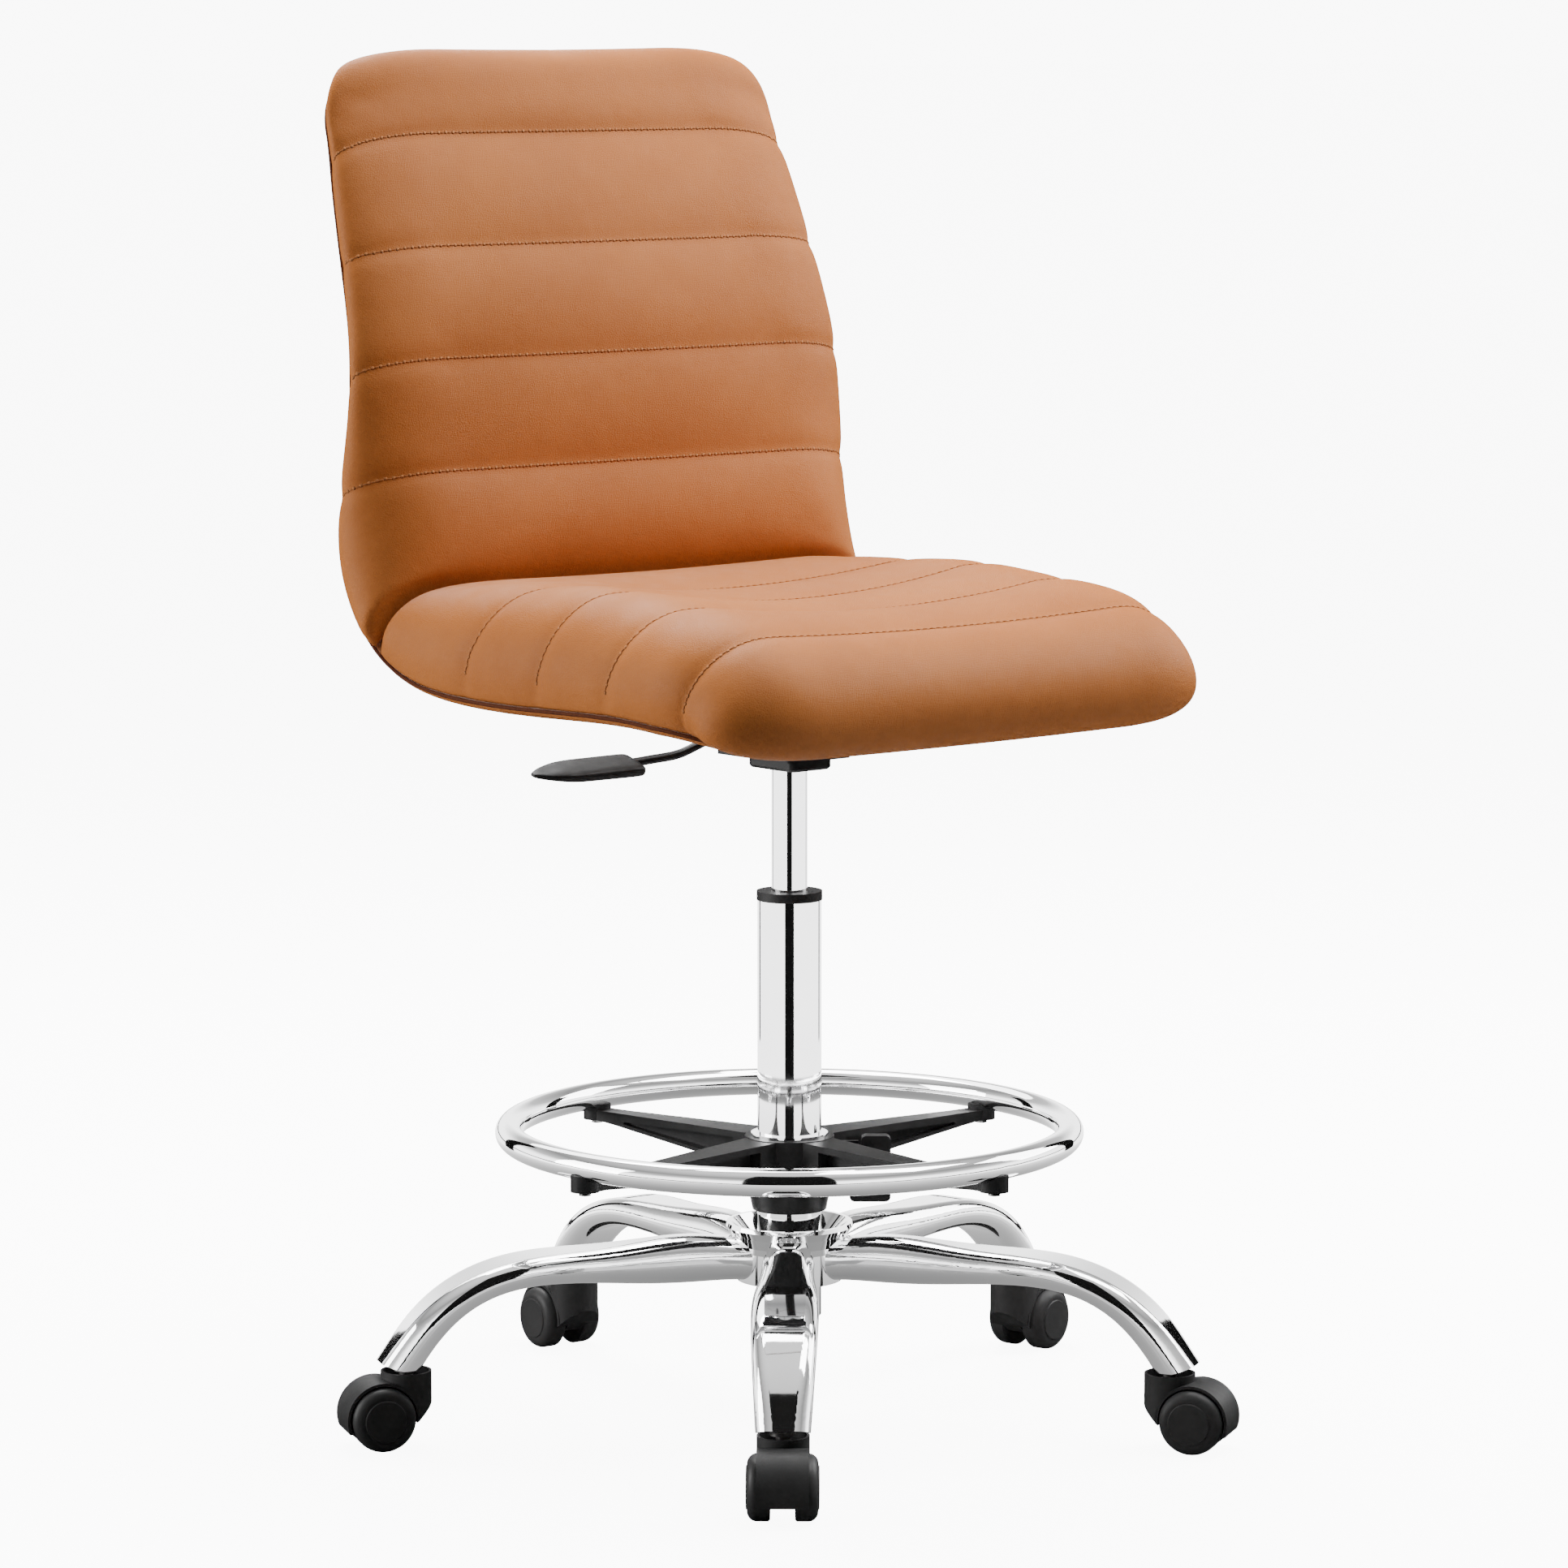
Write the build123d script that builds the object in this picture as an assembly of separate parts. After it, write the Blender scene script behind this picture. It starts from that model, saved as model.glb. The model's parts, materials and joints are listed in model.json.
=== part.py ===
from build123d import *
import os
from math import cos, sin, radians

# Adjustable swivel stool: upholstered seat and back on a gas column, with a footring and five casters.
# Frame: millimetres, +Z up, origin on the floor under the swivel axis, seat front towards -Y,
# height lever towards -X.

# ---- driving dimensions -------------------------------------------------------------------------
GAP = 0.3                  # clearance between separate bodies that do not run on each other
RUN = 0.05                 # radial clearance of a running fit

BASE_TURN = -41.9          # azimuth of the first base arm, degrees from -Y towards +X
ARM_COUNT = 5
ARM_STEP = 360 / ARM_COUNT
HUB_BOTTOM, HUB_TOP = 112, 158
HUB_R, HUB_RIM_R, HUB_CUP_R = 41, 50, 46
HUB_FLARE_Z = 136          # where the flare under the hub's rim begins
HUB_CUP_DEPTH = 12
ARM_WALL = 2.5
CASTER_CIRCLE_R = 309
ARM_TIP_Z = 62
SOCKET_R, SOCKET_DEPTH = 7, 20

COLUMN_R, COLUMN_WALL = 25, 2
COLUMN_BOTTOM, COLUMN_TOP = 84, 412
BUSH_TOP, BUSH_FLANGE_R, BUSH_BOTTOM = 419, 25.6, 325
END_PLATE_THICK = 5
RACE_R, RACE_THICK = 14, 3
CAGE_R, CAGE_THICK = 13, 4
CLIP_R, CLIP_THICK = 11, 2.2

GAS_R, GAS_WALL = 14, 1.6
GAS_BOTTOM, GAS_TAPER_START, GAS_TOP = 200, 526, 555
GAS_TAPER_R = 13
GAS_END_WALL = 30          # solid head above the pressure chamber
ROD_R = 5
ROD_BOTTOM, PISTON_BOTTOM, PISTON_THICK = 76, 346, 14
GUIDE_THICK = 16
VALVE_R = 4
VALVE_TOP, VALVE_LENGTH = 558, 21

STEM_R, STEM_COLLAR_R, STEM_BELOW_CUP = 5.5, 10, 20
WHEEL_R, WHEEL_TRAIL = 25, 22
WHEEL_INNER, WHEEL_OUTER = 9.2, 27
WHEEL_CAP, WHEEL_SHOULDER_R, WHEEL_CHAMFER = 0.8, 7.5, 1.2
HOOD_HALF_WIDTH, HOOD_WEB = 19.3, 8.6
HOOD_R, HOOD_WELL_R = 28.6, 26.3
NECK_R, NECK_TOP, NECK_CUP_FLOOR = 19.7, 59, 51
HOOD_UNDERSIDE, HOOD_HEEL_Z = 15, 35   # lower edge of the hood under the stem and behind it
HOOD_CUP_WALL = 2
AXLE_R, AXLE_END_ROOM = 3, 5

RING_Z, RING_R, RING_TUBE_R, RING_WALL = 230, 219, 10.75, 1.5
SPIDER_TURN = 4            # azimuth of the first footrest spoke
SPOKE_COUNT = 4
SLEEVE_R, SLEEVE_FLANGE_R, SLEEVE_FLANGE = 26.6, 30, 2.5
SPIDER_TOP, SPIDER_SHOULDER, SPIDER_BOTTOM = 226, 196, 168
SPIDER_R, SPIDER_FOOT_R = 35, 29
PAD_R, PAD_BOTTOM, PAD_TOP = 11, 211, 224
SPOKE_ROOT_HALF, SPOKE_TIP_HALF, SPOKE_RIB_HALF = 17, 8, 4
SPOKE_ROOT_R = 20
SCREW_R, SCREW_HEAD_R, SCREW_HEAD = 2.5, 4.5, 3
LOCK_TURN = 49             # azimuth of the footrest lock lever
LOCK_PIVOT_R, LOCK_PIVOT_Z = 47, 200
LOCK_WIDTH, LOCK_REACH, LOCK_DROP, LOCK_CAM_R = 12, 32, 26, 8
LOCK_EAR = 4

SEAT_HALF_WIDTH = 240
SEAT_FRONT_Y, SEAT_CORNER_R = -230, 70
BACK_TOP_Z, BACK_TOP_HALF_WIDTH, BACK_CORNER_R = 1070, 222, 58
BACK_TAPER_Z = 810         # the back narrows evenly above this height
SHELL_THICK, SHELL_INSET = 9, 14
COVER_THICK = 5

PLATE_THICK, PLATE_TOP = 3, 569
PLATE_X, PLATE_Y = 150, 180
BOX_HALF_X, BOX_FRONT, BOX_REAR, BOX_BOTTOM = 32, -38, 52, 524
BOX_WALL = 3
NECK_HALF_X, NECK_FRONT, NECK_REAR, NECK_BOTTOM = 21, -28, 27, 515
BOX_CORNER_R, PLATE_CORNER_R = 6, 15
BOLT_X, BOLT_Y, BOLT_R = 60, 75, 4
TEE_NUT_R, TEE_NUT_LENGTH, TEE_NUT_TOP = 5.5, 8, 584

LEVER_PIVOT_X, LEVER_PIVOT_Z, LEVER_ROD_R = -23, 553, 3.5
LEVER_PIN_R, LEVER_PIN_HALF, LEVER_EYE_R = 2.5, 20, 7
TONGUE_THICK = 3
GRIP_INNER_X, GRIP_OUTER_X, GRIP_WIDTH, GRIP_THICK = -155, -255, 30, 9
GRIP_Z, GRIP_ROLL = 530, 18

# Side view (y, z) of the line where the front upholstery meets the rear cover, front edge to top.
SEAM_POINTS = [(-205, 560), (-130, 574), (-20, 577), (110, 577), (206, 602), (252, 668), (247, 745),
               (241, 815), (262, 908), (302, 1040)]
CREASE_INDEX = 4           # the seam point under the crease between seat and back
# Side view (y, z) of the sitting surface: front lip, over the nose, along the seat to the crease.
SEAT_TOP_POINTS = [(-206, 551), (-230, 590), (-200, 634), (-120, 654), (40, 656), (189, 668)]
# Side view (y, z) of the back's front face, crease to top edge.
BACK_FRONT_POINTS = [(190, 670), (193, 745), (198, 815), (222, 913), (256, 1000), (280, 1050)]
BACK_CROWN = [(280, 1050), (296, BACK_TOP_Z), (308, 1050)]


# ---- helpers ------------------------------------------------------------------------------------
def write(name, shape):
    export_step(shape, os.path.join("parts", name + ".step"))


def cylinder(radius, bottom, top, x=0, y=0):
    return Pos(x, y, bottom) * Cylinder(radius, top - bottom, align=(Align.CENTER, Align.CENTER, Align.MIN))


def box(x0, x1, y0, y1, z0, z1):
    size = Box(x1 - x0, y1 - y0, z1 - z0, align=(Align.MIN, Align.MIN, Align.MIN))
    return Pos(x0, y0, z0) * size


def tube(outer, inner, bottom, top):
    return cylinder(outer, bottom, top) - cylinder(inner, bottom, top)


def turned(points):
    """A solid of revolution about Z from an (r, z) outline."""
    return revolve(make_face(Plane.XZ * Polyline(*points, close=True)), Axis.Z)


def closed_face(plane, *lines):
    """A face on a plane, bounded by lines drawn in the plane's own two directions."""
    return make_face([plane * edge for line in lines for edge in line.edges()])


def across(face, half_width):
    """The face, which lies in the YZ plane, pushed out to both sides."""
    return extrude(face, amount=half_width, both=True)


def radial(azimuth, shape):
    """A shape built along +X, turned to point along an azimuth counted from -Y towards +X."""
    return Rot(0, 0, azimuth - 90) * shape


def pin_along_y(radius, x, z, half_length):
    pin = Rot(90, 0, 0) * Cylinder(radius, 2 * half_length)
    return Pos(x, 0, z) * pin


# ---- five-star base -----------------------------------------------------------------------------
def hub_envelope():
    outline = [(0, HUB_BOTTOM), (HUB_R, HUB_BOTTOM), (HUB_R, HUB_FLARE_Z), (HUB_R + 1, HUB_FLARE_Z + 5),
               (HUB_RIM_R - 4, HUB_TOP - 9), (HUB_RIM_R, HUB_TOP - 3), (HUB_RIM_R - 1, HUB_TOP), (0, HUB_TOP)]
    return turned(outline)


def base_hub():
    cup_floor = HUB_TOP - HUB_CUP_DEPTH
    cup = turned([(0, cup_floor), (HUB_R - 6, cup_floor), (HUB_CUP_R, HUB_TOP), (0, HUB_TOP)])
    return hub_envelope() - cup - cylinder(COLUMN_R, HUB_BOTTOM, HUB_TOP)


def arm_section(r, z, droop, width, height, wall=0):
    """A rounded section square to the arm, whose axis droops by an angle from the horizontal."""
    slope = radians(droop)
    plane = Plane(origin=(r, 0, z), x_dir=(0, 1, 0), z_dir=(cos(slope), 0, -sin(slope)))
    w, h = width - 2 * wall, height - 2 * wall
    return plane * RectangleRounded(w, h, 0.46 * min(w, h))


def base_arm():
    """One hollow arm along +X: deep and narrow at the hub, wide and flat at the bend, then down to its tip."""
    stations = [(30, 130.5, 0, 38, 36), (72, 133, 0, 41, 36), (115, 133, 2, 42, 34), (170, 133.5, 4, 48, 25),
                (222, 131, 13, 51, 22), (266, 115.5, 36, 49, 23), (297, 88.5, 50, 45, 26),
                (CASTER_CIRCLE_R + 7, ARM_TIP_Z, 72, 41, 30)]
    outer = loft([arm_section(*station) for station in stations])
    hollow = loft([arm_section(*station, wall=ARM_WALL) for station in stations[:-2]])
    below_tip = box(200, 400, -40, 40, 0, ARM_TIP_Z)
    socket = cylinder(SOCKET_R, ARM_TIP_Z, ARM_TIP_Z + SOCKET_DEPTH, x=CASTER_CIRCLE_R)
    return outer - hollow - below_tip - hub_envelope() - socket


def caster_sockets():
    liner = tube(SOCKET_R, STEM_R, ARM_TIP_Z, ARM_TIP_Z + SOCKET_DEPTH)
    places = [radial(BASE_TURN + ARM_STEP * n, Pos(CASTER_CIRCLE_R, 0, 0) * liner) for n in range(ARM_COUNT)]
    return Compound(children=places)


# ---- column -------------------------------------------------------------------------------------
def column_tube():
    return tube(COLUMN_R, COLUMN_R - COLUMN_WALL, COLUMN_BOTTOM, COLUMN_TOP)


def column_end_plate():
    return tube(COLUMN_R - COLUMN_WALL, ROD_R + RUN, COLUMN_BOTTOM, COLUMN_BOTTOM + END_PLATE_THICK)


def guide_bush():
    sleeve = tube(COLUMN_R - COLUMN_WALL, GAS_R + RUN, BUSH_BOTTOM, COLUMN_TOP)
    flange = tube(BUSH_FLANGE_R, GAS_R + RUN, COLUMN_TOP, BUSH_TOP)
    return sleeve + flange


def thrust_bearing():
    race_bottom = COLUMN_BOTTOM + END_PLATE_THICK
    cage_bottom = race_bottom + RACE_THICK
    race = tube(RACE_R, ROD_R + 1, race_bottom, cage_bottom)
    cage = tube(CAGE_R, ROD_R + 2, cage_bottom, cage_bottom + CAGE_THICK)
    return race + cage


def bearing_race():
    bottom = COLUMN_BOTTOM + END_PLATE_THICK + RACE_THICK + CAGE_THICK + RUN
    return tube(RACE_R, ROD_R, bottom, bottom + RACE_THICK)


def piston_rod():
    return cylinder(ROD_R, ROD_BOTTOM, PISTON_BOTTOM + PISTON_THICK)


def piston_head():
    return tube(GAS_R - GAS_WALL - RUN, ROD_R, PISTON_BOTTOM, PISTON_BOTTOM + PISTON_THICK)


def rod_clip():
    top = COLUMN_BOTTOM - GAP
    return tube(CLIP_R, ROD_R, top - CLIP_THICK, top)


def gas_cylinder():
    body = turned([(0, GAS_BOTTOM), (GAS_R, GAS_BOTTOM), (GAS_R, GAS_TAPER_START), (GAS_TAPER_R, GAS_TOP),
                   (0, GAS_TOP)])
    chamber = cylinder(GAS_R - GAS_WALL, GAS_BOTTOM, GAS_TOP - GAS_END_WALL)
    return body - chamber - cylinder(VALVE_R + RUN, GAS_BOTTOM, GAS_TOP)


def rod_guide():
    return tube(GAS_R - GAS_WALL, ROD_R + RUN, GAS_BOTTOM, GAS_BOTTOM + GUIDE_THICK)


def valve_pin():
    return cylinder(VALVE_R, VALVE_TOP - VALVE_LENGTH, VALVE_TOP)


# ---- casters ------------------------------------------------------------------------------------
def caster_stem():
    """Fixed stem: it fills the socket liner and carries the hood on its lower end."""
    rod = cylinder(STEM_R, NECK_CUP_FLOOR - STEM_BELOW_CUP, ARM_TIP_Z + SOCKET_DEPTH - 2)
    collar = cylinder(STEM_COLLAR_R, NECK_TOP + GAP, ARM_TIP_Z)
    return Pos(CASTER_CIRCLE_R, 0, 0) * (rod + collar)


def caster_hood():
    axle_line = Pos(WHEEL_TRAIL, 0, WHEEL_R) * Rot(90, 0, 0)
    fender = axle_line * Cylinder(HOOD_R, 2 * HOOD_HALF_WIDTH)
    hood = fender + cylinder(NECK_R, HOOD_UNDERSIDE, NECK_TOP)
    well = axle_line * Cylinder(HOOD_WELL_R, 2 * NECK_R)
    far = WHEEL_TRAIL + HOOD_R + 10
    web = box(-NECK_R, far, -HOOD_WEB, HOOD_WEB, 0, NECK_TOP)
    hood -= well - web
    heel_slope = [(-NECK_R, HOOD_HEEL_Z), (-NECK_R / 3, HOOD_UNDERSIDE + 8), (4, HOOD_UNDERSIDE)]
    under = Polyline((-far, -10), (-far, HOOD_HEEL_Z), *heel_slope, (far, HOOD_UNDERSIDE), (far, -10), close=True)
    hood -= extrude(make_face(Plane.XZ * under), amount=NECK_R + 1, both=True)
    hood -= cylinder(NECK_R - HOOD_CUP_WALL, NECK_CUP_FLOOR, NECK_TOP)
    hood -= cylinder(STEM_R + RUN, NECK_CUP_FLOOR - STEM_BELOW_CUP - GAP, NECK_TOP)
    hood -= axle_line * Cylinder(AXLE_R, 2 * NECK_R)
    return Pos(CASTER_CIRCLE_R, 0, 0) * hood


def caster_axle():
    return pin_along_y(AXLE_R, CASTER_CIRCLE_R + WHEEL_TRAIL, WHEEL_R, WHEEL_OUTER - AXLE_END_ROOM)


def caster_wheel(side):
    """A wheel with a rounded outer face, on the +Y (side 1) or -Y (side -1) end of the axle."""
    face = WHEEL_OUTER - WHEEL_CAP
    wheel = cylinder(WHEEL_R, WHEEL_INNER, face)
    wheel = fillet(wheel.edges().group_by(Axis.Z)[-1], WHEEL_SHOULDER_R)
    wheel = chamfer(wheel.edges().group_by(Axis.Z)[0], WHEEL_CHAMFER)
    cap = cylinder(WHEEL_R - WHEEL_SHOULDER_R - 1, face - 1, WHEEL_OUTER)
    wheel += chamfer(cap.edges().group_by(Axis.Z)[-1], WHEEL_CAP * 0.9)
    wheel -= cylinder(AXLE_R + RUN, WHEEL_INNER, WHEEL_OUTER - AXLE_END_ROOM + GAP)
    return Pos(CASTER_CIRCLE_R + WHEEL_TRAIL, 0, WHEEL_R) * Rot(-90 * side, 0, 0) * wheel


# ---- footrest -----------------------------------------------------------------------------------
def footrest_sleeve():
    sleeve = tube(SLEEVE_R, COLUMN_R + RUN, SPIDER_BOTTOM, SPIDER_TOP)
    top = SPIDER_TOP + RUN
    return sleeve + tube(SLEEVE_FLANGE_R, COLUMN_R + RUN, top - RUN, top + SLEEVE_FLANGE)


def spoke():
    """One spoke along +X: a tapering rib under a tapering top flange, ending in a round pad."""
    root, tip, tip_straight = SPOKE_ROOT_R, RING_R, RING_R - 30
    plan = Polyline((root, -SPOKE_ROOT_HALF), (tip_straight, -SPOKE_TIP_HALF), (tip, -SPOKE_TIP_HALF),
                    (tip, SPOKE_TIP_HALF), (tip_straight, SPOKE_TIP_HALF), (root, SPOKE_ROOT_HALF), close=True)
    flange = extrude(make_face(plan), amount=SPIDER_TOP)
    side = Polyline((root, SPIDER_SHOULDER), (3 * root, SPIDER_SHOULDER + 4), (tip - 15, PAD_BOTTOM),
                    (tip, PAD_BOTTOM), (tip, PAD_TOP - 5), (root, SPIDER_TOP), close=True)
    profile = extrude(make_face(Plane.XZ * side), amount=SPOKE_ROOT_HALF + 3, both=True)
    groove_start, groove_end = SPIDER_R + 12, tip - 40
    groove = Polyline((groove_start, SPIDER_SHOULDER + 6), (groove_end, PAD_BOTTOM + 1),
                      (groove_end, PAD_TOP - 10), (groove_start, SPIDER_TOP - 6), close=True)
    recess = extrude(make_face(Plane.XZ * groove), amount=2 * SPOKE_ROOT_HALF, both=True)
    rib = box(0, RING_R, -SPOKE_RIB_HALF, SPOKE_RIB_HALF, 0, SPIDER_TOP)
    return (profile & flange) - (recess - rib) + cylinder(PAD_R, PAD_BOTTOM, PAD_TOP, x=tip)


def ring_solid(clearance=0):
    return Pos(0, 0, RING_Z) * Torus(RING_R, RING_TUBE_R + clearance)


def at_spokes(shape):
    return [radial(SPIDER_TURN + 360 / SPOKE_COUNT * n, shape) for n in range(SPOKE_COUNT)]


def screw_holes():
    return Part() + at_spokes(cylinder(SCREW_R, PAD_BOTTOM - 5, RING_Z - 4, x=RING_R))


def lock_ears():
    outer, inner = LOCK_WIDTH / 2 + LOCK_EAR, LOCK_WIDTH / 2 + GAP
    ears = box(SPIDER_R - 8, LOCK_PIVOT_R + 7, -outer, outer, LOCK_PIVOT_Z - 8, SPIDER_TOP - 6)
    slot = box(SPIDER_R + 1, LOCK_PIVOT_R + 20, -inner, inner, SPIDER_BOTTOM, RING_Z)
    return radial(LOCK_TURN, ears - slot)


def footrest_spider():
    barrel = turned([(0, SPIDER_BOTTOM), (SPIDER_FOOT_R, SPIDER_BOTTOM), (SPIDER_R, SPIDER_SHOULDER),
                     (SPIDER_R, SPIDER_TOP), (0, SPIDER_TOP)])
    spider = barrel + at_spokes(spoke()) + lock_ears()
    spider -= cylinder(SLEEVE_R + RUN, SPIDER_BOTTOM, SPIDER_TOP)
    spider -= ring_solid(RUN)
    pin = radial(LOCK_TURN, pin_along_y(LEVER_PIN_R, LOCK_PIVOT_R, LOCK_PIVOT_Z, 30))
    return spider - screw_holes() - pin


def footrest_ring():
    bore = Pos(0, 0, RING_Z) * Torus(RING_R, RING_TUBE_R - RING_WALL)
    return ring_solid() - bore - screw_holes()


def footrest_screws():
    shank = cylinder(SCREW_R, PAD_BOTTOM, RING_Z - 5, x=RING_R)
    head = cylinder(SCREW_HEAD_R, PAD_BOTTOM - SCREW_HEAD, PAD_BOTTOM, x=RING_R)
    return Compound(children=at_spokes(shank + head))


def lock_pin():
    return radial(LOCK_TURN, pin_along_y(LEVER_PIN_R, LOCK_PIVOT_R, LOCK_PIVOT_Z, LOCK_WIDTH / 2 + LOCK_EAR))


def lock_lever():
    half = LOCK_WIDTH / 2
    cam = pin_along_y(LOCK_CAM_R, LOCK_PIVOT_R, LOCK_PIVOT_Z, half)
    end, bottom = LOCK_PIVOT_R + LOCK_REACH, LOCK_PIVOT_Z - LOCK_DROP
    foot = box(LOCK_PIVOT_R, end, -half, half, bottom, LOCK_PIVOT_Z - 2)
    tab = box(LOCK_PIVOT_R + LOCK_CAM_R + 1, end, -half, half, bottom, SPIDER_TOP)
    tab = fillet((foot + tab).edges().filter_by(Axis.Y), 4)
    hole = pin_along_y(LEVER_PIN_R + RUN, LOCK_PIVOT_R, LOCK_PIVOT_Z, 20)
    return radial(LOCK_TURN, cam + tab - hole)


# ---- seat support and height lever ----------------------------------------------------------------
def bolt_places():
    return [(x, y) for x in (-BOLT_X, BOLT_X) for y in (-BOLT_Y, BOLT_Y)]


def seat_plate():
    """Pressed plate with the box that grips the gas cylinder's taper and houses the lever."""
    plate_bottom = PLATE_TOP - PLATE_THICK
    plate = box(-PLATE_X / 2, PLATE_X / 2, -PLATE_Y / 2, PLATE_Y / 2, plate_bottom, PLATE_TOP)
    plate = fillet(plate.edges().filter_by(Axis.Z), PLATE_CORNER_R)
    casing = box(-BOX_HALF_X, BOX_HALF_X, BOX_FRONT, BOX_REAR, BOX_BOTTOM, plate_bottom)
    casing = fillet(casing.edges().filter_by(Axis.Z), BOX_CORNER_R)
    neck = box(-NECK_HALF_X, NECK_HALF_X, NECK_FRONT, NECK_REAR, NECK_BOTTOM, BOX_BOTTOM + BOX_WALL)
    neck = chamfer(fillet(neck.edges().filter_by(Axis.Z), BOX_CORNER_R).edges().group_by(Axis.Z)[0], 2)
    inside = box(-BOX_HALF_X + BOX_WALL, BOX_HALF_X - BOX_WALL, BOX_FRONT + BOX_WALL, BOX_REAR - BOX_WALL,
                 BOX_BOTTOM + BOX_WALL, plate_bottom)
    socket = cylinder(GAS_R + 4, BOX_BOTTOM, LEVER_PIVOT_Z)
    taper = turned([(0, NECK_BOTTOM), (GAS_R, NECK_BOTTOM), (GAS_R, GAS_TAPER_START), (GAS_TAPER_R, GAS_TOP),
                    (0, GAS_TOP)])
    pin_block = box(LEVER_PIVOT_X - 6, LEVER_PIVOT_X + 6, BOX_FRONT + 1, BOX_REAR - 1, LEVER_PIVOT_Z - 7,
                    plate_bottom)
    lever_room = box(-BOX_HALF_X - 1, VALVE_R + 4, -7, 7, LEVER_PIVOT_Z - 10, plate_bottom)
    solid = plate + (casing - inside) + neck + socket + pin_block - taper - lever_room
    for x, y in bolt_places():
        solid -= cylinder(BOLT_R, plate_bottom, PLATE_TOP, x, y)
    return solid - lever_pin()


def plate_bolts():
    head_top = PLATE_TOP - PLATE_THICK
    bolts = [cylinder(7, head_top - 5, head_top, x, y) + cylinder(BOLT_R, head_top, TEE_NUT_TOP, x, y)
             for x, y in bolt_places()]
    return Compound(children=bolts)


def tee_nuts():
    return Compound(children=[cylinder(TEE_NUT_R, TEE_NUT_TOP - TEE_NUT_LENGTH, TEE_NUT_TOP, x, y)
                              - cylinder(BOLT_R, TEE_NUT_TOP - TEE_NUT_LENGTH, TEE_NUT_TOP, x, y)
                              for x, y in bolt_places()])


def lever_pin():
    return pin_along_y(LEVER_PIN_R, LEVER_PIVOT_X, LEVER_PIVOT_Z, LEVER_PIN_HALF)


def lever_rod():
    """Bent rod from the paddle to the pivot, with a flat tongue over the valve pin."""
    path = FilletPolyline((LEVER_PIVOT_X - 2, 0, LEVER_PIVOT_Z), (-58, 0, LEVER_PIVOT_Z - 2), (-112, 0, GRIP_Z + 4),
                          (GRIP_INNER_X - 35, 0, GRIP_Z), radius=80)
    rod = sweep(Plane(origin=path @ 0, z_dir=path % 0) * Circle(LEVER_ROD_R), path=path)
    eye = pin_along_y(LEVER_EYE_R, LEVER_PIVOT_X, LEVER_PIVOT_Z, 5)
    tongue_bottom = VALVE_TOP + GAP / 3
    tongue = box(LEVER_PIVOT_X, VALVE_R - 1, -5, 5, tongue_bottom, tongue_bottom + TONGUE_THICK)
    return rod + eye + tongue - pin_along_y(LEVER_PIN_R + RUN, LEVER_PIVOT_X, LEVER_PIVOT_Z, LEVER_PIN_HALF)


def lever_grip():
    """Flat paddle, rolled so that its upper face looks towards the seat's front."""
    length = GRIP_INNER_X - GRIP_OUTER_X
    paddle = extrude(RectangleRounded(length, GRIP_WIDTH, 9), amount=GRIP_THICK / 2, both=True)
    paddle = fillet(paddle.edges().group_by(Axis.Z)[-1] + paddle.edges().group_by(Axis.Z)[0], 3)
    place = Pos((GRIP_INNER_X + GRIP_OUTER_X) / 2, 0, GRIP_Z) * Rot(GRIP_ROLL, 0, 0)
    return place * paddle - lever_rod()


# ---- upholstered seat and back --------------------------------------------------------------------
def seam_line(distance=0, start=0.0, end=1.0, count=17):
    """The seam line, or a line beside it: a positive distance lies towards the sitter."""
    seam = Spline(*SEAM_POINTS)
    points = []
    for step in range(count):
        place = start + (end - start) * step / (count - 1)
        along = seam % place
        points.append(seam @ place + Vector(-along.Y, along.X) * distance)
    return Spline(*points)


def crease_place():
    return Spline(*SEAM_POINTS).param_at_point(Vector(*SEAM_POINTS[CREASE_INDEX]))


def seam_sheet(inner, outer):
    """A sheet that follows the seam line between two distances from it."""
    low, high = seam_line(outer), seam_line(inner)
    face = closed_face(Plane.YZ, low, Line(low @ 1, high @ 1), high, Line(high @ 0, low @ 0))
    return across(face, SEAT_HALF_WIDTH)


def outline(inset):
    """Everything inside the plan of the seat and the front view of the back, less an inset all round."""
    half, front, corner = SEAT_HALF_WIDTH - inset, SEAT_FRONT_Y + inset, SEAT_CORNER_R - inset
    plan = box(-half, half, front, 400, 500, 1200)
    plan = fillet(plan.edges().filter_by(Axis.Z).group_by(Axis.Y)[0], corner)
    top, top_half = BACK_TOP_Z - inset, BACK_TOP_HALF_WIDTH - inset
    front_view = make_face(Plane.XZ * Polyline((-half, 500), (half, 500), (half, BACK_TAPER_Z), (top_half, top),
                                               (-top_half, top), (-half, BACK_TAPER_Z), close=True))
    back = extrude(front_view, amount=500, both=True)
    back = fillet(back.edges().filter_by(Axis.Y).group_by(Axis.Z)[-1], BACK_CORNER_R - inset)
    return plan & back


def bolt_holes(radius):
    return Part() + [cylinder(radius, BOX_BOTTOM, TEE_NUT_TOP, x, y) for x, y in bolt_places()]


def seat_shell():
    return (seam_sheet(SHELL_THICK, 0) & outline(SHELL_INSET)) - bolt_holes(TEE_NUT_R)


def shell_envelope():
    return seam_sheet(SHELL_THICK + GAP, -1) & outline(SHELL_INSET - GAP)


def rear_cover():
    return (seam_sheet(-GAP, -COVER_THICK) & outline(3)) - bolt_holes(TEE_NUT_R)


def seat_pad():
    crease = crease_place()
    bottom = seam_line(0, 0, crease - 0.002)
    top = Spline(*SEAT_TOP_POINTS)
    face = closed_face(Plane.YZ, bottom, Line(bottom @ 1, top @ 1), top, Line(top @ 0, bottom @ 0))
    return (across(face, SEAT_HALF_WIDTH) & outline(0)) - shell_envelope()


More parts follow.
